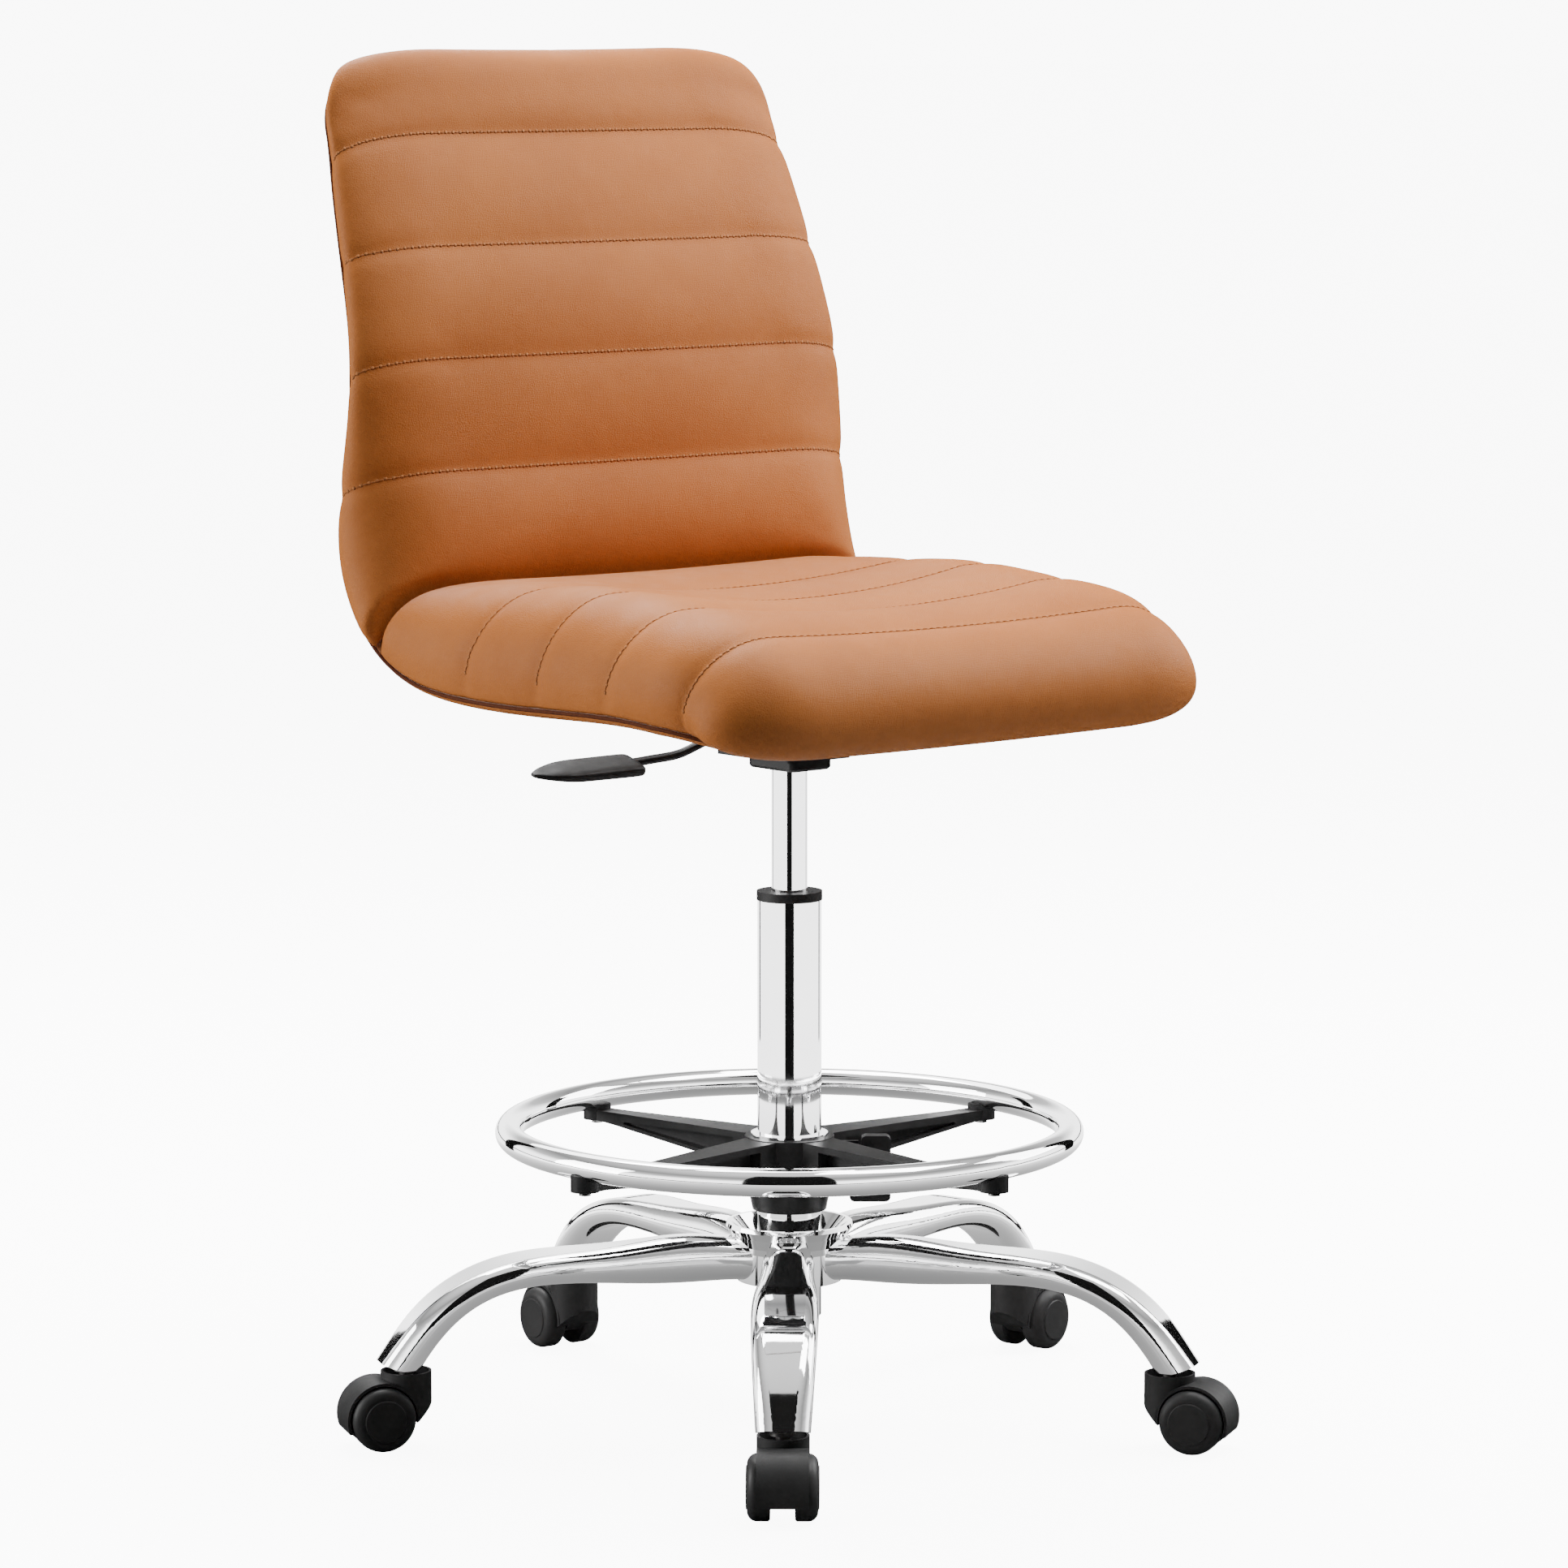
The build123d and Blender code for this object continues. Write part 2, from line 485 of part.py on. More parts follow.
def back_pad():
    rear = seam_line(0, crease_place() + 0.002, 1)
    front = Spline(*BACK_FRONT_POINTS)
    crown = ThreePointArc(*BACK_CROWN)
    face = closed_face(Plane.YZ, rear, Line(rear @ 1, crown @ 1), crown, front, Line(front @ 0, rear @ 0))
    return (across(face, SEAT_HALF_WIDTH) & outline(0)) - shell_envelope()


# ---- writing the parts ----------------------------------------------------------------------------
def write_base():
    write("base_hub", base_hub())
    arm = base_arm()
    for number in range(ARM_COUNT):
        write(f"base_arm_{number + 1}", radial(BASE_TURN + ARM_STEP * number, arm))
    write("caster_sockets", caster_sockets())
    write("column_tube", column_tube())
    write("column_end_plate", column_end_plate())
    write("guide_bush", guide_bush())
    write("thrust_bearing", thrust_bearing())


def write_casters():
    pieces = {"caster_stem": caster_stem(), "caster_hood": caster_hood(), "caster_axle": caster_axle(),
              "wheel_left": caster_wheel(1), "wheel_right": caster_wheel(-1)}
    for number in range(ARM_COUNT):
        for name, shape in pieces.items():
            write(f"{name}_{number + 1}", radial(BASE_TURN + ARM_STEP * number, shape))


def write_lift():
    write("piston_rod", piston_rod())
    write("piston_head", piston_head())
    write("bearing_race", bearing_race())
    write("rod_clip", rod_clip())
    write("gas_cylinder", gas_cylinder())
    write("rod_guide", rod_guide())
    write("valve_pin", valve_pin())


def write_footrest():
    write("footrest_sleeve", footrest_sleeve())
    write("footrest_spider", footrest_spider())
    write("footrest_ring", footrest_ring())
    write("footrest_screws", footrest_screws())
    write("lock_pin", lock_pin())
    write("lock_lever", lock_lever())


def write_seat():
    write("seat_plate", seat_plate())
    write("plate_bolts", plate_bolts())
    write("tee_nuts", tee_nuts())
    write("lever_pin", lever_pin())
    write("lever_rod", lever_rod())
    write("lever_grip", lever_grip())
    write("seat_shell", seat_shell())
    write("rear_cover", rear_cover())
    write("seat_pad", seat_pad())
    write("back_pad", back_pad())


os.makedirs("parts", exist_ok=True)
write_base()
write_casters()
write_lift()
write_footrest()
write_seat()
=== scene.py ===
"""Looks of the adjustable swivel stool: upholstery, stitching and materials around the CAD frame."""

import json
from math import cos, pi, radians, sin

import bmesh
import bpy
import numpy as np
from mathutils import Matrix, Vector
from mathutils.bvhtree import BVHTree

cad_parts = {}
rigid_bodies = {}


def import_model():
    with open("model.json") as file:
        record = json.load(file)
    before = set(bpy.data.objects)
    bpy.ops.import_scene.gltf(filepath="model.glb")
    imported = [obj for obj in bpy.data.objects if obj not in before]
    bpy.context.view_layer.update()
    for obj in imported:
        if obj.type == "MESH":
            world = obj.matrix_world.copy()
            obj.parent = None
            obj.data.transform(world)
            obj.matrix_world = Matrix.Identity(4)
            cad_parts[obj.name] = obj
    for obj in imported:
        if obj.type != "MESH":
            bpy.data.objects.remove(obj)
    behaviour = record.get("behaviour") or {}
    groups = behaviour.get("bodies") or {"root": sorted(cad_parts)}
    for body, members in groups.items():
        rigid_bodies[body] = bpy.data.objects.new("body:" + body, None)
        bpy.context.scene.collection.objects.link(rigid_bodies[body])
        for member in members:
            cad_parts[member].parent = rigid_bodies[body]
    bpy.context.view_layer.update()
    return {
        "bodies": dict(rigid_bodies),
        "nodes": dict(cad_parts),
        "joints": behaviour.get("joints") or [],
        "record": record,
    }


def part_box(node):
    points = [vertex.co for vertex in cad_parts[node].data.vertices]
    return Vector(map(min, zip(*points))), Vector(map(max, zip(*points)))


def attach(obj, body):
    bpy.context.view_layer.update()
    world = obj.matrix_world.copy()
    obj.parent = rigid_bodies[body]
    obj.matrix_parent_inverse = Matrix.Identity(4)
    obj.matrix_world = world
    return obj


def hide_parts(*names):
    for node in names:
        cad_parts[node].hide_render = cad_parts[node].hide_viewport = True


MM = 0.001

# Seam between the front upholstery and the rear cover, as (y, z) from the seat's front to the top.
SEAM_POINTS = [(-205, 560), (-130, 574), (-20, 577), (110, 577), (206, 602), (252, 668), (247, 745),
               (241, 815), (262, 908), (302, 1040)]
# The seat's part of the seam ends within the first length along it, and the back's starts past the second.
SEAT_SEAM_END, BACK_SEAM_START = 500, 300
CREASE_Z = 604

# Seat pad. Its profile is (y, z) along the middle, from the seam under the front lip to the crease.
SEAT_HALF_WIDTH = 240
SEAT_CORNER_R = 70
SEAT_PROFILE = [(-192, 557), (-206, 551), (-220, 556), (-229, 572), (-230, 594), (-220, 616), (-200, 633),
                (-165, 645), (-97, 648), (-12, 650), (73, 652), (150, 654.5), (190, 655.5)]
SEAT_FRONT_SEAM = SEAT_PROFILE[0]
# At lengths along the profile: how far the side stands out past the seam, and how wide the shoulder is.
SEAT_BULGES = [(0, 3), (50, 24), (140, 14), (225, 8), (460, 7), (540, 4)]
SEAT_SHOULDERS = [(0, 50), (50, 76), (140, 64), (225, 62), (460, 60), (540, 56)]
# How much higher than its middle the face is at DISH_REACH from it, at each y.
SEAT_DISH = [(-230, 0), (-182, 3), (-97, 9), (-12, 12), (73, 8), (192, 0)]
DISH_REACH, DISH_LIMIT = 150, 1.3
SEAT_NOSE_TURN = 48  # degrees round the corner seam, level with the nose
SEAT_STITCHES = [(-182, -154), (-97, -67), (-12, 14), (73, 101)]  # y on the top and at the side seam

# Back pad. Its profile is (y, z) along the middle, from the crease over the crown to the top seam.
BACK_PROFILE = [(190, 655.5), (188, 700), (193, 745), (198, 815), (222, 917), (256, 1003), (272, 1040),
                (281, 1060), (294, 1069), (304, 1063), (306, 1052)]
BACK_TOP_SEAM = BACK_PROFILE[-1]
BACK_HALF_WIDTHS = [(600, 240), (800, 240), (863, 236), (913, 232), (956, 228), (1000, 223), (1060, 221)]
BACK_CORNER_R = 50
BACK_BULGES = [(0, 16), (85, 15), (155, 10), (260, 6), (355, 4), (480, 3)]
BACK_SHOULDERS = [(0, 58), (85, 80), (330, 84), (415, 104), (470, 62)]
BACK_CROWN_TURN = 40  # degrees back from the corner seam's end, level with the crown
BACK_WRAP, WRAP_REACH = 9, 196  # how far the face falls back at this distance from its middle
# Heights at which it starts and ends, each with the distance over which it grows or fades.
WRAP_START, WRAP_GROWTH, WRAP_END, WRAP_FADE = 700, 120, 1075, 40
BACK_STITCHES = [(744, 719), (830, 811), (917, 899), (1003, 976)]  # z on the front and at the side seam

ROW_STEP = 6.5
COLUMN_STEP = 8.0
SHOULDER_STEPS = 14
FACE_INSET = 50  # the face's columns are spaced for a face this much narrower at each side
THIN_PAD = 25  # a pad less deep than this bulges less
BULGE_DEPTH = 0.32  # share of the pad's depth at which its side stands out furthest
VALLEY_DEPTH, VALLEY_WIDTH = 3.0, 6.5
CREASE_DEPTH, CREASE_WIDTH = 5.0, 8.0
SEAM_CALM = 14.0  # valleys fade over this distance from the seam
SEAM_VALLEY = 0.25  # share of a valley's depth that is left at the seam
SHELL_ROOM, SHELL_EDGE = 9.6, 13.0  # hollow under the pads, and the distance from the seam in which it forms

PUFF_PRESSURE = 4.0
PUFF_FRAMES = 20
PUFF_CAP = 6.0
CLOTH_STIFFNESS, CLOTH_BENDING = 15, 0.6

COVER_DEPTH, COVER_ROUND, COVER_GAP = 7.0, 16.0, 0.4
COVER_ROWS, COVER_COLUMNS = 150, 61
WELT_R, WELT_SIDE_POINTS, WELT_END_POINTS = 1.5, 260, 38

STITCH_PITCH, STITCH_GAP = 6.8, 0.2  # the gap is the share of a pitch from a hole to its thread
STITCH_MARGIN = 3  # columns left without stitches at each seam
THREAD_R, THREAD_SIDES, THREAD_ARCH = 0.5, 8, 0.8
HOLE_R, HOLE_SIDES, HOLE_STRETCH = 1.5, 12, 1.15
HOLE_LIFT, HOLE_HEART_LIFT, HOLE_DEPTH = 0.12, 0.16, 0.5

# Lever grip, along its length from the tip to the rod: (share of the length, half width, half thickness).
GRIP_SHAPE = [(0.0, 2.2, 1.2), (0.03, 4.2, 1.8), (0.10, 8.0, 2.6), (0.20, 11.6, 3.4), (0.32, 14.4, 4.1),
              (0.45, 15.0, 4.5), (0.93, 15.0, 4.8), (0.975, 14.6, 4.6), (1.0, 13.0, 3.6)]
GRIP_ROLL = 18
GRIP_RINGS, GRIP_SIDES, GRIP_END_TURN = 30, 32, 0.15
GRIP_WIDTH_POWER, GRIP_THICKNESS_POWER = 0.55, 0.5  # below 1, they square the round section

# Dark cards around the object, for glossy pieces to reflect: bearing from -Y towards +X and half width in
# degrees, then distance and lowest and highest edge in metres.
FLAGS = [(-41, 16, 1.02, 0.0, 1.6), (92, 5, 1.8, 0.0, 1.2), (-174, 5, 1.8, 0.0, 1.2)]
FLAG_STEP = 3
SKY_LIGHT = 0.06
# Softboxes: bearing from -Y towards +X and height angle in degrees, then power in watts. The rows began as a
# least-squares fit, by another program, to the shading of the leather in the photo.
SOFTBOXES = [("rear_softbox", 160, 38, 56), ("high_softbox", 156, 62, 132), ("top_softbox", 48, 66, 124),
             ("right_softbox", 76, 24, 98), ("left_softbox", -124, 8, 100)]
SOFTBOX_SIZE, SOFTBOX_DISTANCE, SOFTBOX_AIM = 1.8, 3.0, 0.7
BACKDROP_GLOW, FLOOR_GLOW, FLOOR_HALF = 9.5, 9.3, 80
FLOOR_BOUNCE_DROP = 0.002
# What the chrome reflects: a tent, by height from its rim to overhead, and a floor in it, by distance from
# the middle to the rim. Each stop is (share of the way, strength).
TENT_RADIUS = 7.0
TENT_GLOW = [(0.0, 0.04), (0.04, 0.04), (0.05, 4.0), (0.22, 4.0), (0.40, 1.0), (0.62, 0.4), (1.0, 1.3)]
TENT_FLOOR_GLOW = [(0.0, 0.3), (0.04, 0.5), (0.11, 1.4), (0.22, 4.0), (1.0, 4.0)]
TENT_FLOOR_DROP, TENT_ROOF_DROP = 0.004, 0.01

# Camera, solved from the photo with the standard sizes that the record names.
CAMERA_PLACE = (-3.1195, -3.5821, 1.103)
CAMERA_TILT, CAMERA_TURN = 90 - 7.208, -41.0
CAMERA_LENS = 141.7


# ---- curves ---------------------------------------------------------------------------------------
def smooth_curve(points, count=900):
    """A natural cubic spline through the points, sampled densely, with the arc length of each sample."""
    p = np.array(points, float)
    knots = np.concatenate([[0], np.cumsum(np.linalg.norm(np.diff(p, axis=0), axis=1))])
    h = np.diff(knots)
    n = len(p)
    matrix, right = np.eye(n), np.zeros_like(p)
    for k in range(1, n - 1):
        matrix[k, k - 1:k + 2] = h[k - 1], 2 * (h[k - 1] + h[k]), h[k]
        right[k] = 6 * ((p[k + 1] - p[k]) / h[k] - (p[k] - p[k - 1]) / h[k - 1])
    bend = np.linalg.solve(matrix, right)
    t = np.linspace(0, knots[-1], count)
    k = np.clip(np.searchsorted(knots, t, side="right") - 1, 0, n - 2)
    a, b, width = (knots[k + 1] - t)[:, None], (t - knots[k])[:, None], h[k][:, None]
    samples = (bend[k] * a**3 + bend[k + 1] * b**3) / (6 * width)
    samples += (p[k] / width - bend[k] * width / 6) * a + (p[k + 1] / width - bend[k + 1] * width / 6) * b
    return samples, arc_lengths(samples)


def arc_lengths(points):
    return np.concatenate([[0], np.cumsum(np.linalg.norm(np.diff(points, axis=0), axis=1))])


def at_arc(points, arcs, wanted):
    """Points of a sampled curve at these arc lengths."""
    return np.stack([np.interp(wanted, arcs, points[:, k]) for k in range(points.shape[1])], axis=-1)


def arc_where(points, arcs, axis, value, after=0.0):
    """Arc length at which the curve's coordinate first crosses the value, beyond a given arc length."""
    side = points[:, axis] - value
    crossings = np.where((side[:-1] * side[1:] <= 0) & (arcs[:-1] >= after))[0]
    k = crossings[0]
    share = side[k] / (side[k] - side[k + 1]) if side[k] != side[k + 1] else 0
    return arcs[k] + share * (arcs[k + 1] - arcs[k])


def monotone(x, knots, values):
    """Shape-keeping cubic interpolation: smooth, and it never turns back between the knots."""
    x, knots, values = np.asarray(x, float), np.array(knots, float), np.array(values, float)
    h, slope = np.diff(knots), np.diff(values) / np.diff(knots)
    tangent = np.concatenate([[slope[0]], np.zeros(len(slope) - 1), [slope[-1]]])
    same = slope[:-1] * slope[1:] > 0
    near, far = 2 * h[1:] + h[:-1], h[1:] + 2 * h[:-1]
    tangent[1:-1][same] = ((near + far) / (near / np.where(same, slope[:-1], 1)
                                           + far / np.where(same, slope[1:], 1)))[same]
    k = np.clip(np.searchsorted(knots, x, side="right") - 1, 0, len(h) - 1)
    t = (x - knots[k]) / h[k]
    return ((1 + 2 * t) * (1 - t)**2 * values[k] + t * (1 - t)**2 * h[k] * tangent[k]
            + t * t * (3 - 2 * t) * values[k + 1] + t * t * (t - 1) * h[k] * tangent[k + 1])


def smoothstep(t):
    t = np.clip(t, 0, 1)
    return t * t * (3 - 2 * t)


# ---- objects --------------------------------------------------------------------------------------
def placed(name, data):
    """A new object with this data, in the scene."""
    piece = bpy.data.objects.new(name, data)
    bpy.context.scene.collection.objects.link(piece)
    return piece


def smooth(mesh):
    mesh.polygons.foreach_set("use_smooth", [True] * len(mesh.polygons))


def built(name, work):
    """A new object made from a bmesh, which is then freed."""
    mesh = bpy.data.meshes.new(name)
    work.to_mesh(mesh)
    work.free()
    return placed(name, mesh)


# ---- upholstered pads -----------------------------------------------------------------------------
SEAM, SEAM_ARCS = smooth_curve(SEAM_POINTS)


def seat_edge():
    """Seam under the seat's front corner and along its side, as (x, y, z), from the front to the crease."""
    turn = np.linspace(0, pi / 2, 60)
    centre_x, centre_y = SEAT_HALF_WIDTH - SEAT_CORNER_R, SEAT_FRONT_SEAM[0] + SEAT_CORNER_R
    side = SEAM[(SEAM[:, 0] > centre_y) & (SEAM[:, 1] < CREASE_Z) & (SEAM_ARCS < SEAT_SEAM_END)]
    rise = (side[0, 1] - SEAT_FRONT_SEAM[1]) * smoothstep(turn / (pi / 2))
    corner = np.stack([centre_x + SEAT_CORNER_R * np.sin(turn), centre_y - SEAT_CORNER_R * np.cos(turn),
                       SEAT_FRONT_SEAM[1] + rise], axis=-1)
    straight = np.column_stack([np.full(len(side), SEAT_HALF_WIDTH), side])
    return np.concatenate([corner, straight[1:]])


def back_edge():
    """Seam along the back's side and round its top corner, as (x, y, z), from the crease to the top."""
    widths_z, widths = zip(*BACK_HALF_WIDTHS)
    centre_z = BACK_TOP_SEAM[1] - BACK_CORNER_R
    side = SEAM[(SEAM[:, 1] >= CREASE_Z) & (SEAM[:, 1] < centre_z) & (SEAM_ARCS > BACK_SEAM_START)]
    straight = np.column_stack([monotone(side[:, 1], widths_z, widths), side])
    turn = np.linspace(0, pi / 2, 60)[1:]
    centre_x = straight[-1, 0] - BACK_CORNER_R
    z = centre_z + BACK_CORNER_R * np.sin(turn)
    y = side[-1, 0] + (BACK_TOP_SEAM[0] - side[-1, 0]) * np.sin(turn)
    corner = np.stack([centre_x + BACK_CORNER_R * np.cos(turn), y, z], axis=-1)
    return np.concatenate([straight, corner])


def row_places(anchors):
    """Arc lengths of evenly spaced rows that land on every anchor, and each anchor's row."""
    places, marks = [anchors[0]], [0]
    for low, high in zip(anchors, anchors[1:]):
        steps = max(2, round((high - low) / ROW_STEP))
        places += list(low + (high - low) * np.arange(1, steps + 1) / steps)
        marks.append(len(places) - 1)
    return np.array(places), marks


def side_profile(width, bulge):
    """How a pad's side rises from its seam: (distance outside the seam, share of the pad's depth)."""
    lean = np.arccos(1 - bulge / width)
    angles = np.concatenate([np.linspace(-lean, 0, 5)[:-1], np.linspace(0, pi / 2, SHOULDER_STEPS - 3)])
    below = BULGE_DEPTH * (1 + np.sin(angles) / np.sin(lean))
    above = BULGE_DEPTH + (1 - BULGE_DEPTH) * np.sin(angles)
    return bulge - width * (1 - np.cos(angles)), np.where(angles < 0, below, above)


def pad_grid(middle, edge, shoulder, bulge, crown):
    """Rows of points over a pad, from its left seam, over the shoulders, to its right seam.
    middle and edge hold one point per row; crown(x, row) lifts the face away from the middle line."""
    across = round(2 * (SEAT_HALF_WIDTH - FACE_INSET) / COLUMN_STEP)
    rows = []
    for row, (centre, side) in enumerate(zip(middle, edge)):
        depth = np.linalg.norm(centre - side[1:])
        out, height = side_profile(shoulder[row], bulge[row] * min(depth / THIN_PAD, 1) + 1e-3)
        flat = side[0] + out[-1]
        face = np.linspace(-flat, flat, across + 1)
        left = np.zeros((SHOULDER_STEPS, 3))
        target = centre + crown(flat, row)
        left[:, 0] = -(side[0] + out[:-1])
        left[:, 1:] = side[1:] + (target - side[1:]) * height[:-1, None]
        plateau = np.column_stack([face, centre + np.array([crown(abs(x), row) for x in face])])
        right = left[::-1] * (-1, 1, 1)
        rows.append(np.concatenate([left, plateau, right]))
    return np.array(rows)


def grid_normals(grid):
    along, over = np.gradient(grid, axis=0), np.gradient(grid, axis=1)
    normal = np.cross(over, along)
    length = np.linalg.norm(normal, axis=-1, keepdims=True)
    return normal / np.maximum(length, 1e-9)


def dented(grid, stitch_rows, crease_row):
    """The grid with a valley at each stitched row and a fold at the crease."""
    normal = grid_normals(grid)
    if normal[len(grid) // 2, grid.shape[1] // 2] @ (0, -1, 1) < 0:
        normal = -normal
    centre = grid.shape[1] // 2
    along = arc_lengths(grid[:, centre])
    over = np.array([arc_lengths(row) for row in grid])
    depth = np.zeros(grid.shape[:2])
    for row in stitch_rows:
        depth += VALLEY_DEPTH * np.exp(-np.abs(along - along[row]) / VALLEY_WIDTH)[:, None]
    fold = np.clip(1 - np.abs(along - along[crease_row]) / CREASE_WIDTH, 0, 1)
    depth += CREASE_DEPTH * (1 - np.sqrt(1 - fold**2))[:, None]
    inset = np.minimum(over, over[:, -1:] - over)
    taper = smoothstep(inset / SEAM_CALM)
    return grid - normal * (depth * (SEAM_VALLEY + (1 - SEAM_VALLEY) * taper))[..., None]


def underside(grid, edge):
    """The hidden side of a pad, from seam to seam, raised to leave room for the shell."""
    along = np.gradient(edge[:, 1:], axis=0)
    lift = np.column_stack([-along[:, 1], along[:, 0]])
    lift /= np.maximum(np.linalg.norm(lift, axis=1, keepdims=True), 1e-9)
    rows = []
    for row, side, up in zip(grid, edge, lift):
        share = np.linspace(-1, 1, len(row))
        x = side[0] * share
        raised = SHELL_ROOM * smoothstep((side[0] - np.abs(x)) / SHELL_EDGE)
        rows.append(np.column_stack([x, side[1] + up[0] * raised, side[2] + up[1] * raised]))
    return np.array(rows)


def closed_mesh(name, outer, inner):
    """A closed mesh from two grids with the same border. The border points come from the outer grid."""
    rows, columns = outer.shape[:2]
    points = [tuple(p * MM) for p in outer.reshape(-1, 3)]
    index = np.arange(rows * columns).reshape(rows, columns)
    hidden = index.copy()
    for r in range(1, rows - 1):
        for c in range(1, columns - 1):
            hidden[r, c] = len(points)
            points.append(tuple(inner[r, c] * MM))
    faces = []
    for r in range(rows - 1):
        for c in range(columns - 1):
            faces.append((index[r, c], index[r, c + 1], index[r + 1, c + 1], index[r + 1, c]))
            faces.append((hidden[r, c], hidden[r + 1, c], hidden[r + 1, c + 1], hidden[r, c + 1]))
    mesh = bpy.data.meshes.new(name)
    mesh.from_pydata(points, [], [tuple(int(k) for k in f) for f in faces])
    work = bmesh.new()
    work.from_mesh(mesh)
    bmesh.ops.recalc_face_normals(work, faces=work.faces)
    work.to_mesh(mesh)
    work.free()
    smooth(mesh)
    return placed(name, mesh)


def seat_grid():
    """The seat pad's grid, its side seam for each row, and the rows of its anchors."""
    middle, middle_arcs = smooth_curve(SEAT_PROFILE)
    edge = seat_edge()
    edge_arcs = arc_lengths(edge)
    nose = middle_arcs[np.argmin(middle[:, 0])]
    tops = [arc_where(middle, middle_arcs, 0, top, nose + 1) for top, _ in SEAT_STITCHES]
    sides = [arc_where(edge, edge_arcs, 1, side) for _, side in SEAT_STITCHES]
    anchors = [0, nose] + tops + [middle_arcs[-1]]
    partners = [0, SEAT_CORNER_R * radians(SEAT_NOSE_TURN)] + sides + [edge_arcs[-1]]
    places, marks = row_places(anchors)
    centre = at_arc(middle, middle_arcs, places)
    side = at_arc(edge, edge_arcs, monotone(places, anchors, partners))
    dish = monotone(np.clip(centre[:, 0], SEAT_DISH[0][0], SEAT_DISH[-1][0]), *zip(*SEAT_DISH))
    shoulder = monotone(places, *zip(*SEAT_SHOULDERS))
    bulge = monotone(places, *zip(*SEAT_BULGES))

    def crown(x, row):
        return np.array([0, dish[row] * min((x / DISH_REACH)**2, DISH_LIMIT)])

    return pad_grid(centre, side, shoulder, bulge, crown), side, marks


def back_grid():
    """The back pad's grid, its side seam for each row, and the rows of its anchors."""
    middle, middle_arcs = smooth_curve(BACK_PROFILE)
    edge = back_edge()
    edge_arcs = arc_lengths(edge)
    top = middle_arcs[np.argmax(middle[:, 1])]
    fronts = [arc_where(middle, middle_arcs, 1, front) for front, _ in BACK_STITCHES]
    sides = [arc_where(edge, edge_arcs, 2, side) for _, side in BACK_STITCHES]
    anchors = [0] + fronts + [top, middle_arcs[-1]]
    partners = [0] + sides + [edge_arcs[-1] - BACK_CORNER_R * radians(BACK_CROWN_TURN), edge_arcs[-1]]
    places, marks = row_places(anchors)
    centre = at_arc(middle, middle_arcs, places)
    side = at_arc(edge, edge_arcs, monotone(places, anchors, partners))
    shoulder = monotone(places, *zip(*BACK_SHOULDERS))
    bulge = monotone(places, *zip(*BACK_BULGES))
    growth = smoothstep((centre[:, 1] - WRAP_START) / WRAP_GROWTH)
    drop = BACK_WRAP * growth * smoothstep((WRAP_END - centre[:, 1]) / WRAP_FADE)

    def crown(x, row):
        return np.array([drop[row] * (x / WRAP_REACH)**2, 0])

    return pad_grid(centre, side, shoulder, bulge, crown), side, marks


def puffed(pad, held):
    """Swells a pad as stuffed cloth, with its seams and stitched rows held, and applies the result."""
    scene = bpy.context.scene
    rest = np.array([v.co for v in pad.data.vertices])
    group = pad.vertex_groups.new(name="held")
    group.add([int(k) for k in held], 1.0, "REPLACE")
    cloth = pad.modifiers.new("stuffing", "CLOTH")
    cloth.settings.quality = 5
    cloth.settings.use_pressure = True
    cloth.settings.uniform_pressure_force = PUFF_PRESSURE
    cloth.settings.vertex_group_mass = group.name
    cloth.settings.effector_weights.gravity = 0
    cloth.settings.tension_stiffness = CLOTH_STIFFNESS
    cloth.settings.compression_stiffness = CLOTH_STIFFNESS
    cloth.settings.bending_stiffness = CLOTH_BENDING
    cloth.collision_settings.use_collision = False
    cloth.point_cache.frame_end = PUFF_FRAMES
    for frame in range(1, PUFF_FRAMES + 1):
        scene.frame_set(frame)
    settled = pad.evaluated_get(bpy.context.evaluated_depsgraph_get()).to_mesh()
    moved = np.array([v.co for v in settled.vertices]) - rest
    pad.modifiers.remove(cloth)
    pad.vertex_groups.remove(group)
    scene.frame_set(1)
    length = np.linalg.norm(moved, axis=1, keepdims=True)
    cap = PUFF_CAP * MM
    moved *= np.tanh(length / cap) * cap / np.maximum(length, 1e-9)
    pad.data.vertices.foreach_set("co", (rest + moved).ravel())


def subdivided(piece):
    """Rounds a piece with one level of subdivision, applied."""
    piece.modifiers.new("round", "SUBSURF").levels = 1
    mesh = bpy.data.meshes.new_from_object(piece.evaluated_get(bpy.context.evaluated_depsgraph_get()))
    piece.modifiers.clear()
    piece.data = mesh


def upholstered(name, grid, edge, stitch_rows, crease_row):
    """A pad: its shape, its stuffing and one level of rounding, fixed to the seat."""
    shape = dented(grid, stitch_rows, crease_row)
    pad = closed_mesh(name, shape, underside(grid, edge))
    rows, columns = grid.shape[:2]
    held = set(range(rows * columns, len(pad.data.vertices)))
    for row in [0, rows - 1] + stitch_rows:
        held.update(range(row * columns, (row + 1) * columns))
    for column in (0, columns - 1):
        held.update(range(column, rows * columns, columns))
    puffed(pad, sorted(held))
    subdivided(pad)
    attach(pad, "seat")
    return pad


# ---- stitching ------------------------------------------------------------------------------------
def surface_of(piece):
    work = bmesh.new()
    work.from_mesh(piece.data)
    tree = BVHTree.FromBMesh(work)
    work.free()
    return tree


